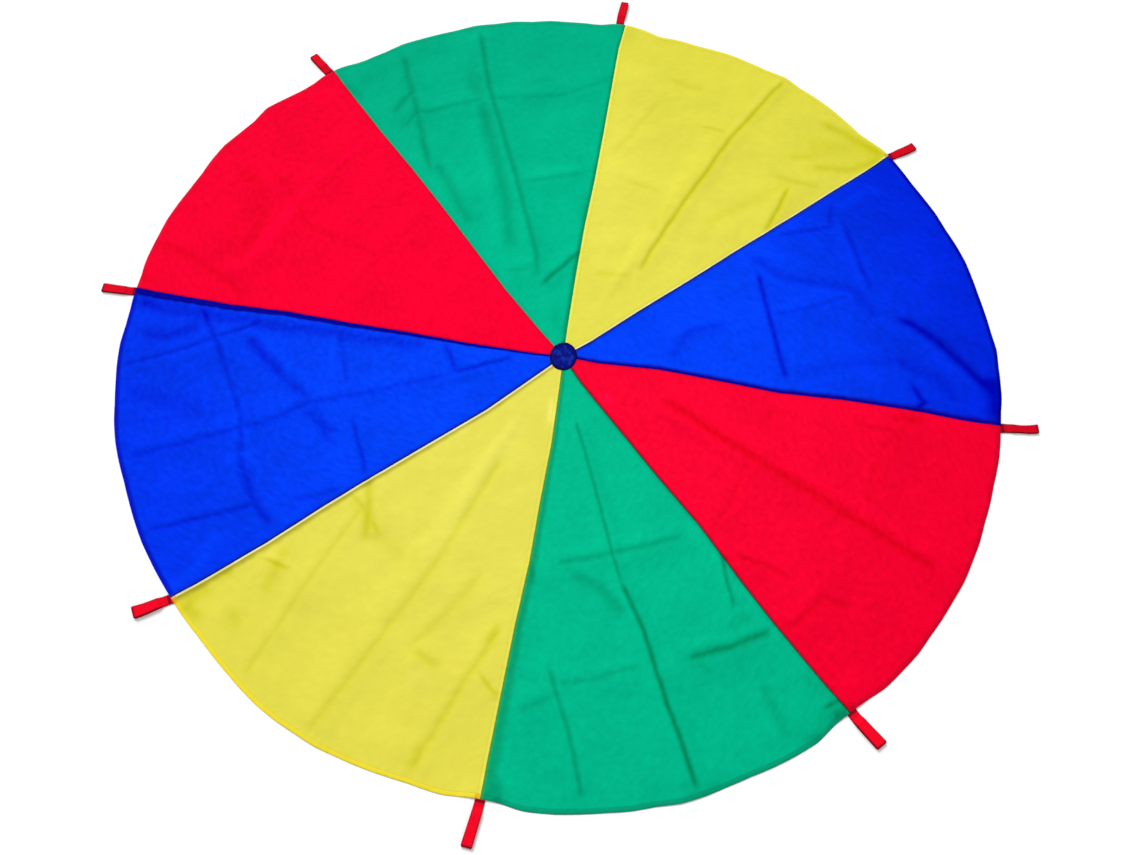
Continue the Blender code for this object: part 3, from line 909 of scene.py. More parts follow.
STRAP_SHAPES = (
    StrapShape(0.80, 0.55, 0.5, 0.8, 0.84, (0.90, 0.97, 0.88), (2.5, 2.0, 0.5, -0.6)),
    StrapShape(0.79, -0.16, -5.9, 0.5, 0.76, (0.92, 0.96, 1.00), (-0.5, -2.0, -3.2, -2.4)),
    StrapShape(0.90, -0.20, 10.2, 0.5, 0.72, (1.04, 0.82, 0.98), (0.0, -2.0, -3.6, -1.8)),
    StrapShape(0.94, 0.27, 2.4, 1.0, 1.0, (1.02, 1.08, 1.16), (-2.5, -3.5, -2.8, -1.7)),
    StrapShape(1.00, 0.00, -5.8, 0.8, 1.0, (0.92, 0.98, 1.04), (0.0, 0.4, 0.0, -0.3)),
    StrapShape(0.84, 0.15, -15.2, 1.0, 1.0, (0.97, 1.04, 1.22), (-1.0, 0.7, 2.4, 2.0)),
    StrapShape(0.82, 0.44, 1.1, 0.5, 0.86, (0.94, 0.94, 1.00), (-0.8, 1.2, 1.5, 1.8)),
    StrapShape(0.75, 0.52, 2.8, 0.8, 0.88, (1.08, 0.98, 0.96), (0.0, 1.4, 2.1, 2.2)),
)


@dataclass
class StrapPlace:
    """Where one strap lies: its hinge, its direction and its length outside the rim."""

    number: int
    tip_rounding: float = 0.14
    tip_round: float = 0.0035
    shape: StrapShape = field(init=False)
    along: Vector = field(init=False)
    beside: Vector = field(init=False)
    hinge: Vector = field(init=False)
    rim_to_hinge: float = field(init=False)
    length: float = field(init=False)

    def __post_init__(self) -> None:
        """Work out the place as the CAD model does."""
        self.shape = STRAP_SHAPES[self.number - 1]
        bearing = CanopyPlan.seam_angle(self.number)
        turned = math.radians(self.shape.yaw)
        out = Vector((math.cos(bearing), math.sin(bearing), 0.0))
        side = Vector((-out.y, out.x, 0.0))
        offset = self.shape.offset * WEBBING_WIDTH
        corner = WEBBING_WIDTH / 2 * math.sin(abs(turned))
        self.rim_to_hinge = (WEBBING_THICKNESS + ROOT_CLEARANCE + corner) / math.cos(turned)
        angle = bearing + turned
        self.along = Vector((math.cos(angle), math.sin(angle), 0.0))
        self.beside = Vector((-self.along.y, self.along.x, 0.0))
        self.hinge = out * CANOPY_RADIUS + side * offset + self.along * self.rim_to_hinge
        self.hinge.z = WEBBING_THICKNESS
        self.length = HANDLE_REACH * self.shape.reach / math.cos(turned) - self.rim_to_hinge

    @property
    def gap(self) -> float:
        """Room for fingers between the strap's two plies."""
        return FINGER_GAP * self.shape.gap

    def share(self, outside: float) -> float:
        """How far along the strap a place outside the hinge is, from 0 to 1."""
        return min(max(outside / self.length, 0.0), 1.0)

    def bow(self, outside: float) -> float:
        """How far the strap strays anticlockwise of its straight line, in metres."""
        curve = np.polyfit(self.shape.bow_places, self.shape.bows, 3)
        return float(np.polyval(curve, self.share(outside))) / 1000

    def spread(self, outside: float) -> float:
        """Width of the webbing as a share of the full one, as it lies twisted or pressed."""
        tip = share_between(outside, self.length - self.tip_round, self.length)
        width = np.interp(self.share(outside), self.shape.width_places, self.shape.widths)
        return float(width * (1 - self.tip_rounding * tip))


class Nodes:
    """A material's nodes, added one call at a time."""

    def __init__(self, name: str, tree: bpy.types.NodeTree | None = None) -> None:
        """Start a material with its surface shader, or add to another tree.

        Args:
            name: The material's name.
            tree: The tree to add to, if it isn't a new material's.
        """
        if tree:
            self.tree = tree
            return
        self.material = bpy.data.materials.new(name)
        self.material.use_nodes = True
        self.tree = self.material.node_tree
        self.surface = self.tree.nodes["Principled BSDF"]

    def add(self, kind: str, **values: object) -> bpy.types.Node:
        """Add a node and set its properties."""
        node = self.tree.nodes.new(kind)
        for name, value in values.items():
            setattr(node, name, value)
        return node

    def feed(self, socket: Socket, value: Value) -> None:
        """Link a socket to another one, or set it to a number or colour."""
        if isinstance(value, bpy.types.NodeSocket):
            self.tree.links.new(value, socket)
        else:
            socket.default_value = value

    def math(self, operation: str, *values: Value) -> Socket:
        """Work out one number.

        Args:
            operation: The Math node's operation.
            values: Sockets or numbers.

        Returns:
            The result's socket.
        """
        node = self.add("ShaderNodeMath", operation=operation)
        for socket, value in zip(node.inputs, values):
            self.feed(socket, value)
        return node.outputs[0]

    def times(self, first: Value, second: Value) -> Socket:
        """Multiply two numbers."""
        return self.math("MULTIPLY", first, second)

    def graded(self, value: Value, factor: Value, base: Value) -> Socket:
        """Multiply a number by a factor and add a base."""
        return self.math("MULTIPLY_ADD", value, factor, base)

    def rest(self, share: Value) -> Socket:
        """What a share leaves of 1."""
        return self.math("SUBTRACT", 1.0, share)

    def wave(self, place: Value, length: float) -> Socket:
        """Wave from -1 to 1 that repeats after a length."""
        return self.math("SINE", self.times(place, 2 * math.pi / length))

    def ribs(self, place: Value, length: float) -> Socket:
        """Wave from 0 to 1 that repeats after a length."""
        return self.graded(self.wave(place, length), 0.5, 0.5)

    def parts(self, place: Value) -> tuple[Socket, Socket]:
        """Split a place into x and y."""
        split = self.add("ShaderNodeSeparateXYZ")
        self.feed(split.inputs[0], place)
        return split.outputs["X"], split.outputs["Y"]

    def plain_weave(self, place: Value, length: float) -> Socket:
        """Height of a plain weave from 0 to 1, which repeats after a length both ways."""
        across, along = self.parts(place)
        crossed = self.times(self.wave(across, length), self.wave(along, length))
        return self.graded(crossed, 0.5, 0.5)

    def mix(self, share: Value, first: Value, second: Value, within: bool = True) -> Socket:
        """Mix two colours by a share, which stays within 0 and 1 unless told otherwise."""
        node = self.add("ShaderNodeMix", data_type="RGBA", clamp_factor=within)
        self.feed(node.inputs["Factor"], share)
        self.feed(node.inputs["A"], first)
        self.feed(node.inputs["B"], second)
        return node.outputs["Result"]

    def tint(self, colour: Value, factor: Value) -> Socket:
        """Make a colour darker or lighter by a factor."""
        node = self.add("ShaderNodeVectorMath", operation="SCALE")
        self.feed(node.inputs[0], colour[:3] if isinstance(colour, tuple) else colour)
        self.feed(node.inputs["Scale"], factor)
        return node.outputs[0]

    def seen(self) -> Socket:
        """1 for rays that come straight from the camera, reflect or pass through, else 0."""
        rays = self.add("ShaderNodeLightPath")
        straight = self.math("MAXIMUM", rays.outputs["Is Camera Ray"], rays.outputs["Is Glossy Ray"])
        return self.math("MAXIMUM", straight, rays.outputs["Is Transmission Ray"])

    def attribute(self, name: str) -> Socket:
        """Read one of the mesh's own numbers."""
        return self.add("ShaderNodeAttribute", attribute_name=name).outputs["Fac"]

    def flat_map(self) -> Socket:
        """Read the piece's cloth map, which is in metres."""
        return self.add("ShaderNodeUVMap", uv_map="Cloth").outputs["UV"]

    def eased(self, value: Value, low: Value, high: Value) -> Socket:
        """Ease a number from 0 at low to 1 at high."""
        node = self.add("ShaderNodeMapRange", interpolation_type="SMOOTHSTEP")
        self.feed(node.inputs["Value"], value)
        self.feed(node.inputs["From Min"], low)
        self.feed(node.inputs["From Max"], high)
        return node.outputs["Result"]

    def noise(self, place: Value, scale: float, detail: float = 2.0) -> Socket:
        """Add a noise of a scale, about 0.5 on average."""
        node = self.add("ShaderNodeTexNoise")
        self.feed(node.inputs["Vector"], place)
        node.inputs["Scale"].default_value = scale
        node.inputs["Detail"].default_value = detail
        return node.outputs["Fac"]

    def streaks(self, place: Value, across: float, along: float) -> Socket:
        """Add a noise that is stretched one way, with a scale for x and one for y."""
        node = self.add("ShaderNodeMapping")
        self.feed(node.inputs["Vector"], place)
        node.inputs["Scale"].default_value = (across, along, 1.0)
        return self.noise(node.outputs[0], 1.0, 1.0)

    def bump(self, height: Value, distance: float, strength: float, under: Value | None = None) -> Socket:
        """Add a bump, over another one if given."""
        node = self.add("ShaderNodeBump")
        self.feed(node.inputs["Height"], height)
        node.inputs["Distance"].default_value = distance
        node.inputs["Strength"].default_value = strength
        if under is not None:
            self.feed(node.inputs["Normal"], under)
        return node.outputs[0]

    def finish(self, colour: Value, rough: Value, normal: Value, shine: float) -> Material:
        """Connect the surface.

        Args:
            colour: Base colour.
            rough: Roughness.
            normal: Normal.
            shine: Specular level, the same all over.

        Returns:
            The finished material.
        """
        self.feed(self.surface.inputs["Base Color"], colour)
        self.feed(self.surface.inputs["Roughness"], rough)
        self.feed(self.surface.inputs["Normal"], normal)
        self.surface.inputs["Specular IOR Level"].default_value = shine
        return self.material


# Painted crease shade of each cloth: the share of red, green and blue left where it is deepest, and how
# fast it deepens
CREASE_SHADE_TINTS = {
    Cloth.GREEN: ((0.0, 0.25, 0.08), 1.9),
    Cloth.YELLOW: ((0.75, 0.77, 0.0), 4.6),
    Cloth.BLUE: ((0.0, 0.0, 0.60), 2.4),
    Cloth.RED: ((0.68, 0.0, 0.0), 3.0),
}


@dataclass(frozen=True)
class EdgeBand:
    """What shows along one edge of a gore: a line beside the seam, then a band inside it.

    Widths are in metres from the seam. The band runs from start to inner near the canopy's
    middle and to outer at the rim, and fades over the last part of its width. The eases are
    the shares of start and of line_width between which the band sets in and the line ends.
    Where the band is darker than the cloth, it is partly the seam's second ply showing through
    and partly painted shade beside the raised seam.
    """

    tone: Colour
    inner: float
    outer: float
    fade: float = 0.5
    start: float = 0.0
    line_tone: Colour | None = None
    line_width: float = 0.0
    start_ease: Pair = (0.8, 1.1)
    line_ease: Pair = (0.8, 1.15)


@dataclass(frozen=True)
class ClothFinish:
    """Thin dyed taffeta: its colour alone, over a second ply, and along its two seams.

    A depth is how far a pattern varies the tone, and an ease is where a change begins and ends.
    The rim colour, darker than the middle, is painted shade where the light falls off, and the
    creases and soft strokes get painted shade and painted light.
    """

    cloth: Cloth
    middle: Colour
    rim: Colour
    hem: Colour
    clockwise: EdgeBand
    anticlockwise: EdgeBand
    contrast: float = 1.0
    crumple: float = 0.3
    over_red: Colour | None = None
    over_red_share: float = 0.65
    rim_ease: Pair = (0.35, 1.05)
    hem_ease: Pair = (0.45, 1.1)
    deepest: float = 0.92
    drift: float = 0.5
    seam_groove_shade: float = 0.65
    seam_groove_ease: Pair = (0.0002, 0.0012)
    thread_pitch: float = 0.00062
    slub_scales: Pair = (900.0, 40.0)
    slub_depth: float = 0.10
    cloud_depth: float = 0.10
    mottle_depth: float = 0.08
    rough: float = 0.50
    rough_gain: float = 0.18

    def folds(self, nodes: Nodes, colour: Socket) -> Socket:
        """Paint the creases' and soft strokes' shade and light into the colour, with some mottle.

        Args:
            nodes: The material's nodes.
            colour: The colour so far.

        Returns:
            The new colour's socket.
        """
        kept, gain = CREASE_SHADE_TINTS[self.cloth]
        deep = nodes.add("ShaderNodeVectorMath", operation="MULTIPLY")
        nodes.feed(deep.inputs[0], colour)
        nodes.feed(deep.inputs[1], kept)
        ripple = nodes.noise(nodes.flat_map(), scale=78.0)
        ripple = nodes.graded(ripple, self.crumple, -0.5 * self.crumple)
        # Painted shade of creases and strokes, and painted light where it is negative
        share = nodes.math("ADD", nodes.times(nodes.attribute("dark"), gain), ripple)
        share = nodes.math("MINIMUM", share, self.deepest)
        return nodes.mix(share, colour, deep.outputs[0], within=False)

    def edge(self, nodes: Nodes, colour: Socket, name: str, band: EdgeBand, out: Socket) -> Socket:
        """Paint one edge's band and line over a colour.

        Args:
            nodes: The material's nodes.
            colour: The colour so far.
            name: The mesh's number that holds the distance from this seam.
            band: What shows there.
            out: 0 at the canopy's middle and 1 at its rim.

        Returns:
            The new colour's socket.
        """
        away = nodes.attribute(name)
        width = nodes.graded(out, band.outer - band.inner, band.inner)
        drift = nodes.noise(nodes.flat_map(), scale=45.0, detail=1.0)
        width = nodes.times(width, nodes.graded(drift, self.drift, 1 - self.drift / 2))
        soft = nodes.times(width, 1 - band.fade)
        inside = nodes.rest(nodes.eased(away, soft, width))
        if band.start:
            low, high = band.start_ease
            inside = nodes.times(inside, nodes.eased(away, band.start * low, band.start * high))
        colour = nodes.mix(inside, colour, linear(band.tone))
        if band.line_tone:
            low, high = band.line_ease
            line = nodes.eased(away, band.line_width * low, band.line_width * high)
            colour = nodes.mix(nodes.rest(line), colour, linear(band.line_tone))
        # Painted shade in the groove along the seam
        groove_shade = nodes.eased(away, *self.seam_groove_ease)
        return nodes.tint(colour, nodes.graded(groove_shade, 1 - self.seam_groove_shade, self.seam_groove_shade))

    def slubs(self, nodes: Nodes, place: Socket) -> Socket:
        """Thicker stretches of the threads, both ways, from 0 to 1."""
        fine, coarse = self.slub_scales
        both = nodes.math("ADD", nodes.streaks(place, fine, coarse), nodes.streaks(place, coarse, fine))
        return nodes.times(both, 0.5)

    def dyed(self, nodes: Nodes) -> Socket:
        """Colour of the flat cloth, with its rim, hem, edges and what shows through."""
        rim = nodes.attribute("from_rim")
        out = nodes.rest(nodes.math("DIVIDE", rim, CANOPY_RADIUS))
        # Darker towards the rim: painted shade where the light falls off
        colour = nodes.mix(nodes.eased(out, *self.rim_ease), linear(self.middle), linear(self.rim))
        low, high = self.hem_ease
        hem = nodes.rest(nodes.eased(rim, HEM_WIDTH * low, HEM_WIDTH * high))
        colour = nodes.mix(hem, colour, linear(self.hem))
        colour = self.edge(nodes, colour, "from_clockwise", self.clockwise, out)
        colour = self.edge(nodes, colour, "from_anticlockwise", self.anticlockwise, out)
        if self.over_red:
            shows = nodes.times(nodes.attribute("tails"), self.over_red_share)
            colour = nodes.mix(shows, colour, linear(self.over_red))
        return colour

    def make(self, number: int) -> Material:
        """Make the material of one gore."""
        nodes = Nodes(f"cloth_{number}_{self.cloth.value}")
        place = nodes.flat_map()
        slubs = self.slubs(nodes, place)
        mottle = nodes.noise(place, scale=55.0, detail=3.0)
        # The cloud and mottle vary the tone at random; their strength on each cloth also stands in for
        # the shading and sheen of its small facets, painted into the colour
        broad, fine = self.cloud_depth * self.contrast, self.mottle_depth * self.contrast
        cloud = nodes.noise(place, scale=9.0, detail=3.0)
        tone = nodes.graded(cloud, broad, 1 - broad / 2)
        tone = nodes.times(tone, nodes.graded(mottle, fine, 1 - fine / 2))
        tone = nodes.times(tone, nodes.graded(slubs, self.slub_depth, 1 - self.slub_depth / 2))
        colour = nodes.tint(self.folds(nodes, self.dyed(nodes)), tone)
        rough = nodes.graded(mottle, self.rough_gain, self.rough)
        threads = nodes.plain_weave(place, self.thread_pitch)
        normal = nodes.bump(threads, distance=0.00006, strength=0.5)
        normal = nodes.bump(slubs, distance=0.00025, strength=0.35, under=normal)
        return nodes.finish(colour, rough, normal, shine=0.008)


@dataclass(frozen=True)
class WebbingFinish:
    """Woven strap: ribs across it, two rows of chevrons, and painted shade at its edges and ends."""

    colour: Colour = (254, 5, 38)
    edge: Colour = (146, 4, 26)
    root: Colour = (104, 3, 26)
    rib_pitch: float = 0.0017
    yarn_pitch: float = 0.0011
    rib_share: float = 0.6
    yarn_share: float = 0.4
    edge_ease: Pair = (0.37, 0.49)
    tip_ease: Pair = (0.0070, 0.0015)
    tip_share: float = 0.95
    root_ease: Pair = (0.0050, 0.0010)
    root_share: float = 0.85

    def make(self) -> Material:
        """Make the strap's material, which reads the strap's own map in metres."""
        nodes = Nodes("red_webbing")
        place = nodes.flat_map()
        across, along = nodes.parts(place)
        aside = nodes.math("ABSOLUTE", across)
        slant = nodes.math("ABSOLUTE", nodes.math("SUBTRACT", aside, WEBBING_WIDTH / 4))
        ribs = nodes.ribs(nodes.math("ADD", along, slant), self.rib_pitch)
        yarns = nodes.ribs(across, self.yarn_pitch)
        height = nodes.graded(yarns, self.yarn_share, nodes.times(ribs, self.rib_share))
        # Painted shade along the strap's rounded edges
        low, high = self.edge_ease
        edge_shade = nodes.eased(aside, WEBBING_WIDTH * low, WEBBING_WIDTH * high)
        # Painted shade at the tip, where the webbing bends round
        turned = nodes.eased(nodes.attribute("from_tip"), *self.tip_ease)
        edge_shade = nodes.math("MAXIMUM", edge_shade, nodes.times(turned, self.tip_share))
        colour = nodes.mix(edge_shade, linear(self.colour), linear(self.edge))
        # Painted shade at the root, where the strap goes under the rim
        sewn = nodes.eased(nodes.attribute("from_root"), *self.root_ease)
        colour = nodes.mix(nodes.times(sewn, self.root_share), colour, linear(self.root))
        worn = nodes.noise(place, scale=160.0, detail=3.0)
        tone = nodes.times(nodes.graded(height, 0.24, 0.86), nodes.graded(worn, 0.16, 0.92))
        # Each strap's own tone: painted shade, deeper on some straps than others
        colour = nodes.tint(colour, nodes.times(tone, nodes.attribute("tone")))
        rough = nodes.graded(height, -0.15, 0.72)
        normal = nodes.bump(height, distance=0.00035, strength=0.8)
        fuzz = nodes.noise(place, scale=2200.0)
        normal = nodes.bump(fuzz, distance=0.0001, strength=0.3, under=normal)
        return nodes.finish(colour, rough, normal, shine=0.03)


@dataclass(frozen=True)
class ThreadFinish:
    """Twisted sewing thread."""

    name: str
    colour: Colour
    twist_pitch: float = 0.0006

    def make(self) -> Material:
        """Make the thread's material, with its twist along each stitch."""
        nodes = Nodes(f"thread_{self.name}")
        place = nodes.flat_map()
        twist = nodes.ribs(nodes.math("ADD", *nodes.parts(place)), self.twist_pitch)
        fuzz = nodes.noise(place, scale=900.0)
        tone = nodes.graded(twist, 0.25, nodes.graded(fuzz, 0.2, 0.72))
        rough = nodes.graded(fuzz, 0.2, 0.45)
        normal = nodes.bump(twist, distance=0.00008, strength=0.7)
        return nodes.finish(nodes.tint(linear(self.colour), tone), rough, normal, shine=0.06)


@dataclass(frozen=True)
class PatchFinish:
    """Navy cloth of the round patch, a little mottled in its middle and darker round its edge."""

    middle: Colour = (0, 10, 122)
    worn: Colour = (14, 46, 168)
    rim: Colour = (3, 2, 84)
    mottle_ease: Pair = (0.42, 0.66)
    rim_ease: Pair = (0.76, 0.90)
    thread_pitch: float = 0.0007

    def make(self) -> Material:
        """Make the patch's material, which reads the patch's own map in metres."""
        nodes = Nodes("navy_cloth")
        place = nodes.flat_map()
        radius = nodes.add("ShaderNodeVectorMath", operation="LENGTH")
        nodes.feed(radius.inputs[0], place)
        mottle = nodes.noise(place, scale=78.0, detail=3.0)
        worn = nodes.eased(mottle, *self.mottle_ease)
        colour = nodes.mix(worn, linear(self.middle), linear(self.worn))
        low, high = self.rim_ease
        turned = nodes.eased(radius.outputs["Value"], PATCH_RADIUS * low, PATCH_RADIUS * high)
        colour = nodes.mix(turned, colour, linear(self.rim))
        threads = nodes.plain_weave(place, self.thread_pitch)
        colour = nodes.tint(colour, nodes.graded(threads, 0.14, 0.90))
        rough = nodes.graded(mottle, 0.2, 0.45)
        normal = nodes.bump(threads, distance=0.0001, strength=0.6)
        normal = nodes.bump(mottle, distance=0.0004, strength=0.4, under=normal)
        return nodes.finish(colour, rough, normal, shine=0.03)


GREEN_1 = ClothFinish(
    Cloth.GREEN, (0, 188, 143), (0, 176, 133), (10, 172, 130),
    EdgeBand((2, 150, 98), 0.014, 0.009, 0.85),
    EdgeBand((14, 172, 128), 0.006, 0.006, 0.8, 0.0, (84, 186, 142), 0.0020), 1.9, 0.22,
)
YELLOW_2 = ClothFinish(
    Cloth.YELLOW, (232, 225, 81), (224, 219, 70), (232, 222, 66),
    EdgeBand((228, 218, 62), 0.010, 0.012, 0.6, 0.004, (246, 242, 188), 0.0036),
    EdgeBand((236, 232, 84), 0.006, 0.006, 0.6, 0.0, (246, 246, 128), 0.0026), 1.3, 0.10, (230, 152, 48),
)
BLUE_3 = ClothFinish(
    Cloth.BLUE, (2, 66, 254), (0, 36, 221), (2, 12, 168),
    EdgeBand((16, 0, 148), 0.012, 0.019, 0.8),
    EdgeBand((6, 44, 206), 0.009, 0.009, 0.7, 0.0, (14, 30, 112), 0.0030), 4.5, 0.55,
)
RED_4 = ClothFinish(
    Cloth.RED, (253, 5, 50), (242, 1, 46), (214, 6, 42),
    EdgeBand((222, 3, 40), 0.005, 0.005), EdgeBand((226, 3, 50), 0.005, 0.005), 2.0, 0.90,
)
GREEN_5 = ClothFinish(
    Cloth.GREEN, (2, 188, 142), (1, 181, 136), (6, 157, 118),
    EdgeBand((6, 161, 112), 0.011, 0.030, 0.6, 0.0, (46, 162, 84), 0.0048),
    EdgeBand((8, 166, 122), 0.008, 0.008, 0.6, 0.0, (26, 74, 56), 0.0026), 2.0, 0.30,
)
YELLOW_6 = ClothFinish(
    Cloth.YELLOW, (233, 226, 88), (229, 221, 78), (244, 225, 54),
    EdgeBand((172, 164, 42), 0.013, 0.020, 0.75, 0.0045, (228, 224, 168), 0.0042),
    EdgeBand((240, 236, 80), 0.006, 0.006, 0.6, 0.0, (248, 244, 104), 0.0022), 1.3, 0.16, (236, 158, 44),
)
BLUE_7 = ClothFinish(
    Cloth.BLUE, (2, 66, 252), (1, 52, 240), (4, 24, 200),
    EdgeBand((2, 2, 148), 0.005, 0.021, 0.35),
    EdgeBand((8, 44, 206), 0.008, 0.008, 0.7, 0.0, (16, 30, 118), 0.0030), 4.0, 0.75,
)
RED_8 = ClothFinish(
    Cloth.RED, (254, 1, 50), (250, 0, 48), (240, 9, 50),
    EdgeBand((230, 3, 42), 0.005, 0.005), EdgeBand((232, 3, 48), 0.005, 0.005), 2.2, 1.00,
)
GORE_FINISHES = (GREEN_1, YELLOW_2, BLUE_3, RED_4, GREEN_5, YELLOW_6, BLUE_7, RED_8)

# Thread of each cloth
THREADS: dict[Cloth, Colour] = {
    Cloth.GREEN: (10, 150, 110),
    Cloth.YELLOW: (226, 214, 70),
    Cloth.BLUE: (10, 40, 190),
    Cloth.RED: (214, 6, 44),
}


def new_mesh(
    name: str, points: Array, faces: Faces, flat: Array, smooth: bool = True
) -> Piece:
    """Make a piece from its points, with its cloth map.

    Args:
        name: The piece's name.
        points: Rows of x, y and z in metres.
        faces: Point numbers of each face, anticlockwise seen from outside.
        flat: Rows of u and v in metres, one for each point.
        smooth: Whether its faces are shaded smooth.

    Returns:
        The new object, at the origin.
    """
    mesh = bpy.data.meshes.new(name)
    mesh.from_pydata(points.tolist(), [], faces)
    layer = mesh.uv_layers.new(name="Cloth")
    corners = np.zeros(len(mesh.loops), np.int32)
    mesh.loops.foreach_get("vertex_index", corners)
    layer.data.foreach_set("uv", flat[corners].astype(np.float32).ravel())
    mesh.polygons.foreach_set("use_smooth", [smooth] * len(mesh.polygons))
    mesh.update()
    made = bpy.data.objects.new(name, mesh)
    bpy.context.scene.collection.objects.link(made)
    return made


def set_numbers(piece: Piece, **named: Array) -> None:
    """Store numbers for each point of a piece, for its material to read."""
    for name, values in named.items():
        layer = piece.data.attributes.new(name, "FLOAT", "POINT")
        layer.data.foreach_set("value", values.astype(np.float32))


def thicken(piece: Piece, thickness: float) -> None:
    """Give a sheet its thickness upwards, apply it, and keep every point over the floor."""
    bpy.ops.object.select_all(action="DESELECT")
    bpy.context.view_layer.objects.active = piece
    piece.select_set(True)
    solid = piece.modifiers.new("Thickness", "SOLIDIFY")
    solid.thickness = thickness
    solid.offset = 1.0
    bpy.ops.object.modifier_apply(modifier=solid.name)
    piece.select_set(False)
    places = np.zeros(3 * len(piece.data.vertices), np.float32)
    piece.data.vertices.foreach_get("co", places)
    places[2::3] = np.maximum(places[2::3], 0.0)
    piece.data.vertices.foreach_set("co", places)
    piece.data.update()


def half_of(number: int, far: tuple[int, ...]) -> Half:
    """Half of the canopy that a gore or strap is on."""
    return Half.FAR if number in far else Half.NEAR


def hang(piece: Piece, half: Half) -> None:
    """Let a piece move with its half, unless it reaches past where the bend starts: then only bake its
    transform.
    """
    tall = np.array([corner[1] for corner in piece.bound_box])
    if tall.max() > BEND_START[1]:
        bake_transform(piece)
    else:
        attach(piece, half.value)


def grid_faces(rows: int, columns: int) -> Faces:
    """Faces of a grid of points, stored row by row, facing up where rows run outwards."""
    corners = [row * columns + column for row in range(rows - 1) for column in range(columns - 1)]
    return [(corner, corner + columns, corner + columns + 1, corner + 1) for corner in corners]


def tube_faces(rings: int, sides: int) -> Faces:
    """Faces of a tube whose points are stored ring by ring, with a cap on each end."""
    faces = []
    for ring in range(rings - 1):
        for side in range(sides):
            a, b = ring * sides + side, ring * sides + (side + 1) % sides
            faces.append((a, b, b + sides, a + sides))
    last = (rings - 1) * sides
    return [*faces, tuple(reversed(range(sides))), tuple(range(last, last + sides))]


def gore_width(shares: Array) -> Array:
    """Length round a gore at shares of the canopy's radius."""
    return shares * CANOPY_RADIUS * GORE_ANGLE


def seams_under(number: int) -> list[int]:
    """Numbers of the seams whose allowance lies under a gore."""
    return [index + 1 for index, owner in enumerate(SEAM_GORES) if owner == number]


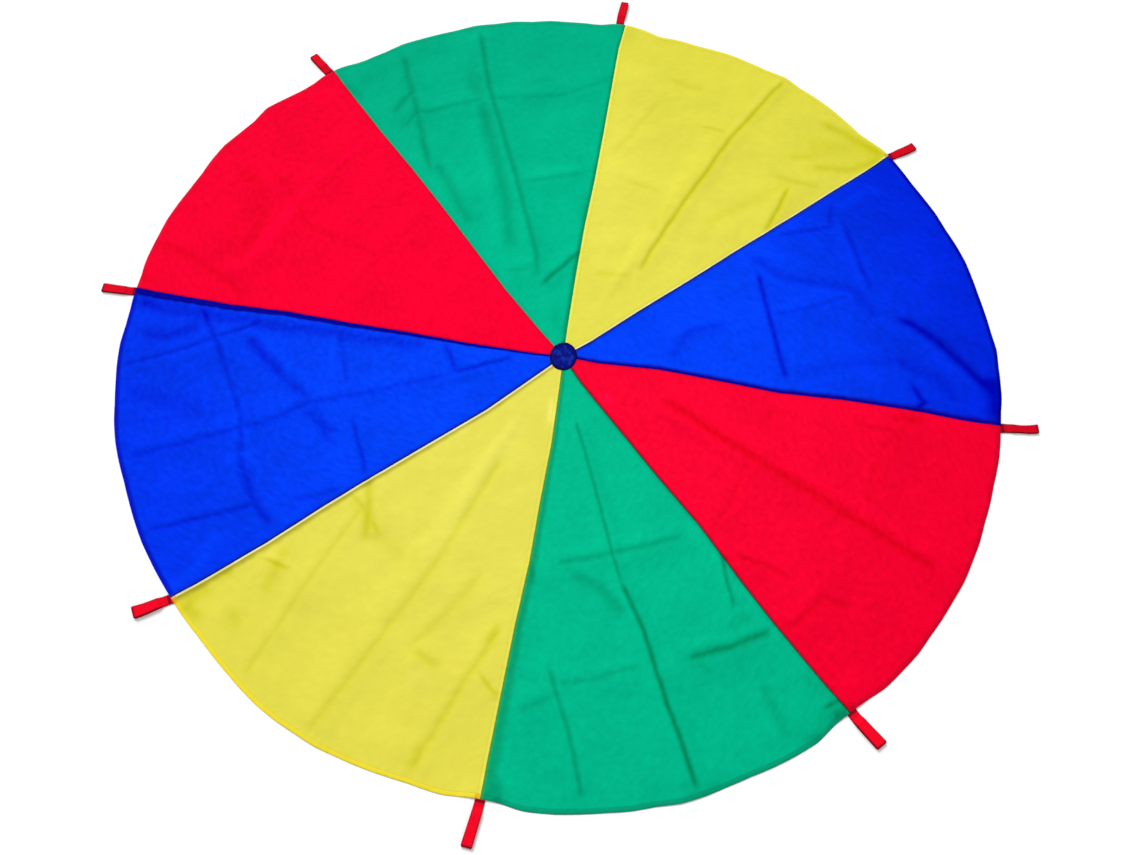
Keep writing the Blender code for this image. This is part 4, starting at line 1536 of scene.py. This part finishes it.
@dataclass
class Gore:
    """One gore of the canopy, with its hem and the seam allowance along its seam.

    Its mesh is even, with rows of points beside the seams, inside the rim and, in shares of
    each crease's reach, along the creases.
    """

    number: int
    plan: CanopyPlan
    relief: Relief
    finish: ClothFinish
    coarse_step: float = 0.010
    fine_step: float = 0.0062
    edge_step: float = 0.0045
    row_step: float = 0.0048
    row_height: float = 0.87
    seam_rows: tuple[float, ...] = (0.0011, 0.0030, 0.0062, 0.0100, 0.0145)
    rim_rows: tuple[float, ...] = (
        0.0004, 0.0010, 0.0020, 0.0050, 0.0086, 0.0104, 0.0120, 0.0160, 0.0225,
    )
    crease_rows: tuple[float, ...] = (0.0, 0.3, 0.65, 1.1, 1.8)
    crease_room: float = 0.55
    end_room: float = 0.0005
    widest_row: float = 0.42
    least_apart: float = 0.0009
    rim_drop: float = 0.0009
    tail_edge: float = 0.0022
    hem_columns: int = 150
    hem_rows: tuple[float, ...] = (HEM_WIDTH, 0.0080, 0.0050, 0.0024, 0.0009)
    seam_ply_columns: tuple[float, ...] = (0.35, 0.7)
    seam_ply_edge: float = 0.0004
    seam_ply_limit: float = 0.12
    half: Half = field(init=False)
    step: float = field(init=False)

    def __post_init__(self) -> None:
        """Find the gore's half, and how fine its mesh is."""
        self.half = half_of(self.number, FAR_GORES)
        self.step = self.fine_step

    def edge_points(self) -> Array:
        """Walk round the gore: out along its clockwise seam, round its rim and back."""
        shares = np.linspace(TIP_RADIUS / CANOPY_RADIUS, 1.0, int(CANOPY_RADIUS / self.edge_step))
        gap = np.minimum(EDGE_GAP / np.maximum(gore_width(shares), 1e-4), 0.2)
        count = int(CANOPY_RADIUS * GORE_ANGLE / self.edge_step)
        rim = np.linspace(gap[-1], 1 - gap[-1], count)[1:-1]
        out = self.plan.place(self.number, gap, shares)
        round_about = self.plan.place_inside(self.number, rim, 0.0)
        back = self.plan.place(self.number, 1 - gap[::-1], shares[::-1])
        return np.concatenate([out, round_about, back])

    def rows_beside_seams(self) -> Array:
        """Points in rows beside the two seams and inside the rim."""
        found = []
        shares = np.linspace(0.012, 0.997, int(CANOPY_RADIUS / self.row_step))
        for offset in self.seam_rows:
            part = offset / gore_width(shares)
            keep = part < self.widest_row
            for across in (part[keep], 1 - part[keep]):
                found.append(self.plan.place(self.number, across, shares[keep]))
        across = np.linspace(0.004, 0.996, int(CANOPY_RADIUS * GORE_ANGLE / self.row_step))
        found += [self.plan.place_inside(self.number, across, offset) for offset in self.rim_rows]
        return np.concatenate(found)

    def rows_beside_creases(self) -> Array:
        """Points in rows along every crease, so that its line stays sharp."""
        found = []
        for crease, line in self.relief.creases:
            sides = np.array(self.crease_rows) * crease.reach
            for side in np.concatenate([sides, -sides[1:]]):
                found.append(line.line + line.normals() * side)
        return np.concatenate(found)

    def rows_between(self) -> Array:
        """Points of an even mesh over the rest of the gore, clear of the creases."""
        count = int(2.1 * CANOPY_RADIUS / self.step)
        column, row = np.meshgrid(np.arange(-count, count), np.arange(-count, count))
        x = (column + 0.5 * (row % 2)) * self.step
        y = row * self.step * self.row_height
        points = np.stack([x.ravel(), y.ravel()], axis=-1)
        points = points[self.inside(points, 0.018, 0.026)]
        clear = np.ones(len(points), bool)
        for crease, line in self.relief.creases:
            room = crease.reach * self.crease_rows[-1] + self.step * self.crease_room
            near, away = line.distance(points, room)[:2]
            ends = [np.hypot(*(points[near] - line.line[end]).T) for end in (0, -1)]
            clear[near[np.minimum(*ends) > away + self.end_room]] = False
        return points[clear]

    def inside(self, points: Array, seam: float, rim: float) -> Array:
        """Tell which points are on the gore, with room to spare.

        Args:
            points: Rows of x and y.
            seam: Least distance from its seams.
            rim: Least distance from its rim.

        Returns:
            One truth value for each point.
        """
        cut = self.plan.from_seam(self.number, points) > seam
        cut &= self.plan.from_seam(self.plan.other_seam(self.number), points) < -seam
        radius, _ = polar(points)
        return cut & (self.plan.from_rim(points) > rim) & (radius > TIP_RADIUS * 1.5)

    def mesh_points(self) -> tuple[Array, int]:
        """Gather the points of the gore's mesh.

        Returns:
            Rows of x and y, and how many of the first ones walk round its edge.
        """
        edge = self.edge_points()
        creases = self.rows_beside_creases()
        creases = creases[self.inside(creases, 0.0016, 0.003)]
        rest = np.concatenate([self.rows_beside_seams(), creases, self.rows_between()])
        rest = rest[self.inside(rest, EDGE_GAP * 4, 0.0003)]
        cells = np.floor(rest / self.least_apart).astype(int)
        _, first = np.unique(cells, axis=0, return_index=True)
        return np.concatenate([edge, rest[np.sort(first)]]), len(edge)

    def sheet(
        self, name: str, points: Array, faces: Faces, drop: Array | float = PLY_DROP, **more: Array
    ) -> Piece:
        """Build a sheet of this gore's cloth, with the numbers that its material reads.

        Args:
            name: The piece's name.
            points: Rows of x and y.
            faces: Point numbers of each face.
            drop: How far it lies under the gore's underside.
            more: Other numbers for the material.

        Returns:
            The new piece.
        """
        height, dark = self.relief.measure(points)
        low = self.plan.from_seam(self.number, points)
        high = -self.plan.from_seam(self.plan.other_seam(self.number), points)
        low, high = np.maximum(low, 0.0), np.maximum(high, 0.0)
        solid = np.column_stack([points, np.maximum(height - drop, 0.0)])
        piece = new_mesh(name, solid, faces, np.column_stack([low, polar(points)[0]]))
        rim = self.plan.from_rim(points)
        # The painted shade and painted light of creases and soft strokes go to the material
        set_numbers(piece, from_clockwise=low, from_anticlockwise=high, from_rim=rim, dark=dark, **more)
        thicken(piece, CLOTH_THICKNESS)
        return piece

    def panel(self) -> Piece:
        """Build the gore itself."""
        points, edge = self.mesh_points()
        walk = [list(range(edge))]
        made = delaunay_2d_cdt([Vector(place) for place in points.tolist()], [], walk, 1, 1e-6)
        flat = np.array([tuple(place) for place in made[0]])
        rim = self.plan.from_rim(flat)
        drop = self.rim_drop * (1 - share_between(rim, low=0.0, high=0.0016))
        tails = 1 - share_between(self.relief.from_tails(flat), 0.0, self.tail_edge)
        name = f"gore_{self.number}_{self.finish.cloth.value}"
        return self.sheet(name, flat, made[2], drop, tails=tails)

    def hem(self) -> Piece:
        """Build the ply that is turned under along the rim."""
        across = np.linspace(0.0006, 0.9994, self.hem_columns)
        rows = [self.plan.place_inside(self.number, across, offset) for offset in self.hem_rows]
        faces = grid_faces(len(rows), self.hem_columns)
        return self.sheet(f"hem_ply_{self.number}", np.concatenate(rows), faces)

    def seam_ply(self, seam: int) -> Piece:
        """Build the allowance of a seam, by its number, felled flat under this gore."""
        end = rim_share(HEM_WIDTH + self.seam_ply_edge)
        shares = np.linspace(0.04, end, num=200)
        widths = gore_width(shares)
        deep = np.minimum(SEAM_ALLOWANCE / widths, self.seam_ply_limit)
        columns = [-self.seam_ply_edge / widths, *(part * deep for part in self.seam_ply_columns), deep]
        if seam != self.number:
            columns = [1 - column for column in reversed(columns)]
        grid = np.stack([self.plan.place(self.number, column, shares) for column in columns], axis=1)
        return self.sheet(f"seam_ply_{seam}", grid.reshape(-1, 2), grid_faces(len(shares), len(columns)))


@dataclass(frozen=True)
class Stitch:
    """One stitch of thread: its pitch along the row, its length and its thickness.

    It rises by the first share of its radius in its middle, and falls by the second at its ends.
    """

    pitch: float = 0.0034
    length: float = 0.0029
    radius: float = 0.00026
    sides: int = 5
    rings: int = 5
    end_width: float = 0.35
    middle_rise: float = 0.55
    end_fall: float = 0.8
    feel: float = 0.0005

    def centres(self, line: Array) -> tuple[Array, Array]:
        """Space the stitches evenly along a line.

        Args:
            line: Rows of x and y.

        Returns:
            The middle of each stitch and its direction.
        """
        places = np.arange(self.pitch / 2, lengths_along(line)[-1], self.pitch)
        run = points_along(line, places + self.feel) - points_along(line, places - self.feel)
        return points_along(line, places), directions(run)

    def runs(self, name: str, lines: list[Array], height: Callable[[Array], Array]) -> Piece:
        """Sew several rows of stitches as one piece of thread.

        Args:
            name: The piece's name.
            lines: Rows of x and y along each row of stitches.
            height: Tells how high the sewn face is over rows of x and y.

        Returns:
            The new piece.
        """
        found = [self.centres(line) for line in lines]
        middle = np.concatenate([pair[0] for pair in found])
        run = np.concatenate([pair[1] for pair in found])
        side = np.stack([-run[:, 1], run[:, 0]], axis=-1)
        count = len(middle)
        turns = np.arange(self.sides) / self.sides * 2 * math.pi
        points, flat = [], []
        for ring in range(self.rings):
            part = ring / (self.rings - 1) * 2 - 1
            spot = middle + run * part * self.length / 2
            face = height(spot)
            thick = self.radius * (self.end_width + (1 - self.end_width) * (1 - part * part) ** 0.5)
            rise = self.radius * (self.middle_rise - self.end_fall * part * part)
            for turn in turns:
                edge = spot + side * (math.cos(turn) * thick)
                points.append(np.column_stack([edge, face + rise + math.sin(turn) * thick]))
                place = np.full(count, part * self.length / 2) + np.arange(count) * self.pitch
                flat.append(np.column_stack([place, np.full(count, turn * self.radius)]))
        solid = np.stack(points, axis=1).reshape(-1, 3)
        mapped = np.stack(flat, axis=1).reshape(-1, 2)
        template = tube_faces(self.rings, self.sides)
        starts = range(0, count * self.rings * self.sides, self.rings * self.sides)
        faces = [tuple(first + corner for corner in face) for first in starts for face in template]
        return new_mesh(name, solid, faces, mapped)


@dataclass
class Canopy:
    """The whole canopy: its gores, their plies and their thread.

    The seam rows hold, for each row of stitches, its distance from its seam and the share of
    the radius where it starts.
    """

    plan: CanopyPlan
    relief: Relief
    stitch: Stitch = Stitch()
    hem_row: float = 0.0022
    seam_rows: tuple[tuple[float, float], ...] = ((0.0014, 0.045), (0.0078, 0.10))
    seam_row_end: float = 0.001
    threads: dict[Cloth, Material] = field(init=False)

    def __post_init__(self) -> None:
        """Make the thread of each cloth."""
        self.threads = {}
        for cloth, tone in THREADS.items():
            self.threads[cloth] = ThreadFinish(cloth.value, tone).make()

    def gores(self) -> dict[int, Piece]:
        """Build every gore with its plies, and hide the CAD solids that they stand for."""
        made = {}
        materials = [finish.make(index + 1) for index, finish in enumerate(GORE_FINISHES)]
        for number, finish in enumerate(GORE_FINISHES, start=1):
            gore = Gore(number, self.plan, self.relief, finish)
            colour = finish.cloth.value
            panel, hem = gore.panel(), gore.hem()
            seams = seams_under(number)
            plies = [gore.seam_ply(seam) for seam in seams]
            for piece in (panel, hem, *plies):
                piece.data.materials.append(materials[number - 1])
                hang(piece, gore.half)
            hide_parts(f"panel_{number}_{colour}")
            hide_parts(f"hem_{number}_{colour}")
            for seam, ply in zip(seams, plies):
                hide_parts(f"seam_{seam}_{colour}")
            made[number] = panel
            LOG.info("gore %d: %d faces", number, len(panel.data.polygons))
            self.declare(number)
        return made

    def face(self, points: Array) -> Array:
        """Height of the gores' upper face."""
        return self.relief.measure(points)[0] + CLOTH_THICKNESS

    def declare(self, number: int) -> None:
        """Sew the thread of one gore."""
        thread = self.sew(number)

    def sew(self, number: int) -> Piece:
        """Sew one gore's hem and the two rows along each allowance that it lies over."""
        cloth = GORE_FINISHES[number - 1].cloth
        across = np.linspace(0.002, 0.998, num=300)
        lines = [self.plan.place_inside(number, across, HEM_WIDTH - self.hem_row)]
        for seam in seams_under(number):
            for offset, start in self.seam_rows:
                end = rim_share(HEM_WIDTH + self.seam_row_end)
                shares = np.linspace(start, end, num=300)
                part = offset / gore_width(shares)
                lines.append(self.plan.place(number, part if seam == number else 1 - part, shares))
        thread = self.stitch.runs(f"thread_{number}", lines, self.face)
        thread.data.materials.append(self.threads[cloth])
        hang(thread, half_of(number, FAR_GORES))
        return thread


@dataclass
class CentrePatch:
    """A round patch of navy cloth over or under the tips of the gores.

    The upper one is higher over the seams and in its middle, and pressed in by its stitches.
    """

    name: str
    node: str
    base: float
    upper: bool
    narrow: float = 0.89
    deep: float = 1.04
    rings: int = 22
    sides: int = 120
    stitch_radius: float = 0.0265
    stitch_dip: float = 0.00016
    gore_turn: float = 0.02
    seam_rise: float = 0.00035
    middle_rise: float = 0.0004
    crumple: float = 0.00022
    edge_fall: float = 0.0004

    def height(self, points: Array) -> Array:
        """Height of the patch's underside over each of its points."""
        if not self.upper:
            return np.full(len(points), self.base)
        radius, bearing = polar(points)
        gore = bell(np.mod(bearing + self.gore_turn, GORE_ANGLE) - GORE_ANGLE / 2, width=0.16)
        inside = share_between(radius, 0.002, 0.012) * (1 - share_between(radius, 0.029, PATCH_RADIUS))
        middle = self.middle_rise * (1 - share_between(radius, low=0.0, high=0.014))
        lift = self.base + self.seam_rise * (1 - gore) * inside + middle
        lift += self.crumple * SmoothNoise(21, pitch=0.006).at(points) * inside
        lift -= self.stitch_dip * bell(radius - self.stitch_radius, width=0.0012)
        return lift - self.edge_fall * share_between(radius, PATCH_RADIUS - 0.0014, PATCH_RADIUS)

    def face(self, points: Array) -> Array:
        """Height of the patch's upper face."""
        return self.height(points / (self.narrow, self.deep)) + CLOTH_THICKNESS

    def settle(self, piece: Piece, material: Material) -> None:
        """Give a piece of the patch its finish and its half."""
        piece.data.materials.append(material)
        hang(piece, Half.NEAR)

    def sew(self, material: Material) -> Piece:
        """Sew a ring of stitches inside the patch's edge."""
        turns = np.linspace(0.0, 2 * math.pi, num=400)
        ring = np.column_stack([np.cos(turns) * self.narrow, np.sin(turns) * self.deep])
        thread = Stitch().runs("thread_patch", [ring * self.stitch_radius], self.face)
        self.settle(thread, material)
        return thread

    def build(self, material: Material) -> Piece:
        """Build the patch.

        Args:
            material: Its finish.

        Returns:
            The new piece.
        """
        turns = np.arange(self.sides) / self.sides * 2 * math.pi
        wavy = 1 + 0.008 * np.sin(5 * turns + 0.6) + 0.005 * np.sin(9 * turns)
        spots = [np.zeros((1, 2))]
        for radius in PATCH_RADIUS * np.sin(np.linspace(0.04, 1.0, self.rings) * math.pi / 2):
            reach = radius * (1 + (wavy - 1) * (radius / PATCH_RADIUS) ** 2)
            spots.append(np.column_stack([np.cos(turns) * reach, np.sin(turns) * reach]))
        flat = np.concatenate(spots)
        solid = np.column_stack([flat * (self.narrow, self.deep), self.height(flat)])
        faces = [(0, 1 + side, 1 + (side + 1) % self.sides) for side in range(self.sides)]
        for ring in range(self.rings - 1):
            for side in range(self.sides):
                a, b = (1 + ring * self.sides + end % self.sides for end in (side, side + 1))
                faces.append((a, a + self.sides, b + self.sides, b))
        piece = new_mesh(self.name, solid, faces, flat)
        thicken(piece, CLOTH_THICKNESS)
        self.settle(piece, material)
        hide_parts(self.node)
        return piece


@dataclass
class Strap:
    """One webbing strap: both its ends sewn under the rim, and its loop outside."""

    number: int
    ply_gap: float = 0.00006
    pressed_thin: float = 0.96
    tack_rows: Pair = (0.0058, 0.0084)
    tack_lift: float = 0.00004
    tack: Stitch = Stitch(0.0027, 0.0023)
    bend_before: float = 0.0006
    bend_after: float = 0.006
    place: StrapPlace = field(init=False)

    def __post_init__(self) -> None:
        """Find where the strap lies."""
        self.place = StrapPlace(self.number)

    def path(self) -> Array:
        """Centre line of the webbing, seen from its side, from one end to the other.

        Returns:
            Rows of distance outside the hinge and height over the floor.
        """
        half, gap = WEBBING_THICKNESS / 2, self.place.gap
        tail = -(self.place.rim_to_hinge + TAIL_LENGTH)
        bend = self.place.length - WEBBING_THICKNESS - gap / 2
        lower = [(x, half) for x in np.linspace(tail, bend, num=70)]
        reach = gap / 2 + half
        middle = WEBBING_THICKNESS + gap / 2
        turns = np.linspace(-math.pi / 2, math.pi / 2, num=22)[1:-1]
        round_about = [(bend + reach * math.cos(turn), middle + reach * math.sin(turn)) for turn in turns]
        back = np.linspace(bend, tail, num=80)
        rise = gap * share_between(back, SEWN_LENGTH, SEWN_LENGTH + OPENING_RUN)
        upper = np.column_stack([back, 3 * half + self.ply_gap + rise])
        return np.concatenate([lower, round_about, upper])

    def section(self) -> Array:
        """Cut across the webbing, with rounded edges: across it and through it."""
        half, thin = WEBBING_WIDTH / 2, WEBBING_THICKNESS / 2 * self.pressed_thin
        turns = np.linspace(-math.pi / 2, math.pi / 2, num=7)
        right = [(half - thin + thin * math.cos(turn), thin * math.sin(turn)) for turn in turns]
        top = [(x, thin) for x in np.linspace(half - thin, -(half - thin), num=12)[1:-1]]
        side = np.array(right + top)
        return np.concatenate([side, -side])

    def build(self, material: Material) -> Piece:
        """Sweep the section along the path.

        Args:
            material: The webbing's finish.

        Returns:
            The new piece.
        """
        path, section = self.path(), self.section()
        run = directions(np.gradient(path, axis=0))
        up = np.column_stack([-run[:, 1], run[:, 0]])
        along, beside = np.array(self.place.along), np.array(self.place.beside)
        origin = np.array((self.place.hinge.x, self.place.hinge.y, 0.0))
        rows, flat = [], []
        for (x, z), (ux, uz), far in zip(path, up, lengths_along(path)):
            across = section[:, :1] * self.place.spread(x) + self.place.bow(x)
            spot = origin + along * (x + section[:, 1] * ux)[:, None] + beside * across
            spot[:, 2] += z + section[:, 1] * uz
            rows.append(spot)
            flat.append(np.column_stack([section[:, 0], np.full(len(section), far)]))
        faces = tube_faces(len(path), len(section))
        piece = new_mesh(f"strap_{self.number}", np.concatenate(rows), faces, np.concatenate(flat))
        outside = np.repeat(path[:, 0], len(section))
        tone = np.full(len(outside), self.place.shape.tone)
        set_numbers(piece, from_root=np.abs(outside), from_tip=self.place.length - outside, tone=tone)
        piece.data.materials.append(material)
        self.hang(piece)
        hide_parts(f"handle_{self.number}", f"handle_tail_{self.number}")
        return piece

    def face(self, points: Array) -> Array:
        """Height of the strap's upper face where its two plies are sewn together."""
        return np.full(len(points), 2 * WEBBING_THICKNESS + self.tack_lift)

    def sew(self, material: Material) -> Piece:
        """Sew two short rows across the strap, just outside the rim."""
        along, beside = np.array(self.place.along[:2]), np.array(self.place.beside[:2])
        across = np.linspace(-0.40, 0.40, num=30) * WEBBING_WIDTH
        lines = []
        for x in self.tack_rows:
            aside = across * self.place.spread(x) + self.place.bow(x)
            lines.append(np.array(self.place.hinge[:2]) + along * x + beside * aside[:, None])
        thread = self.tack.runs(f"thread_strap_{self.number}", lines, self.face)
        thread.data.materials.append(material)
        self.hang(thread)
        return thread

    def hang(self, piece: Piece) -> None:
        """Bake a piece of the strap's transform into its mesh."""
        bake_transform(piece)


@dataclass(frozen=True)
class Studio:
    """A white floor and even light, a little stronger from the left."""

    sky: float = 0.52
    lamp: float = 1.35
    lamp_spread: float = 30.0
    lamp_from: Triple = (-0.50, 0.66, 0.85)
    floor: Colour = (250, 250, 250)
    floor_side: float = 12.0
    floor_depth: float = 0.0003
    floor_glow: float = 0.10

    def add_floor(self) -> None:
        """Lay the floor, white in the camera's eye and still taking the object's shadow."""
        side = self.floor_side
        corners = np.array([(-side, -side), (side, -side), (side, side), (-side, side)])
        points = np.column_stack([corners, np.full(4, -self.floor_depth)])
        floor = new_mesh("floor", points, [(0, 1, 2, 3)], corners, smooth=False)
        nodes = Nodes("floor_white")
        inputs = nodes.surface.inputs
        inputs["Specular IOR Level"].default_value = 0.0
        inputs["Roughness"].default_value = 1.0
        inputs["Base Color"].default_value = linear(self.floor)
        inputs["Emission Color"].default_value = WHITE
        nodes.feed(inputs["Emission Strength"], nodes.times(nodes.seen(), self.floor_glow))
        floor.data.materials.append(nodes.material)

    def add_light(self) -> None:
        """Light the scene: an even sky and one broad sun."""
        world = bpy.context.scene.world or bpy.data.worlds.new("studio")
        bpy.context.scene.world = world
        world.use_nodes = True
        back = world.node_tree.nodes["Background"]
        back.inputs["Color"].default_value = WHITE
        nodes = Nodes("sky", world.node_tree)
        nodes.feed(back.inputs["Strength"], nodes.graded(nodes.seen(), 1 - self.sky, self.sky))
        data = bpy.data.lights.new("key", "SUN")
        data.energy = self.lamp * math.pi / 2
        data.angle = math.radians(self.lamp_spread)
        sun = bpy.data.objects.new("key", data)
        bpy.context.scene.collection.objects.link(sun)
        sun.rotation_mode = "QUATERNION"
        sun.rotation_quaternion = Vector(self.lamp_from).to_track_quat("Z", "Y")

    def build(self) -> None:
        """Set up the floor, the light and the picture's colours."""
        self.add_floor()
        self.add_light()
        bpy.context.scene.view_settings.view_transform = "Standard"


def build_patches() -> None:
    """Build both patches and the upper one's thread.
    """
    navy = PatchFinish().make()
    upper = CentrePatch("patch_top", "centre_patch_top", UPPER_PATCH_LIFT, True)
    top = upper.build(navy)
    ring = upper.sew(ThreadFinish("navy", (10, 12, 92)).make())
    bottom = CentrePatch("patch_bottom", "centre_patch_bottom", 0.0, False).build(navy)
    LOG.info("patches: %s and %s", top.name, bottom.name)


def main() -> None:
    """Dress the parachute and report each piece."""
    logging.basicConfig(level=logging.INFO, format="%(message)s")
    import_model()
    view = PhotoView()
    view.add_camera()
    Studio().build()
    plan = CanopyPlan()
    gores = Canopy(plan, Relief(plan, view)).gores()
    build_patches()
    webbing = WebbingFinish().make()
    red_thread = ThreadFinish("strap", (168, 6, 34)).make()
    for number in range(1, GORE_COUNT + 1):
        strap = Strap(number)
        LOG.info("%s with %s", strap.build(webbing).name, strap.sew(red_thread).name)


if __name__ == "__main__":
    main()
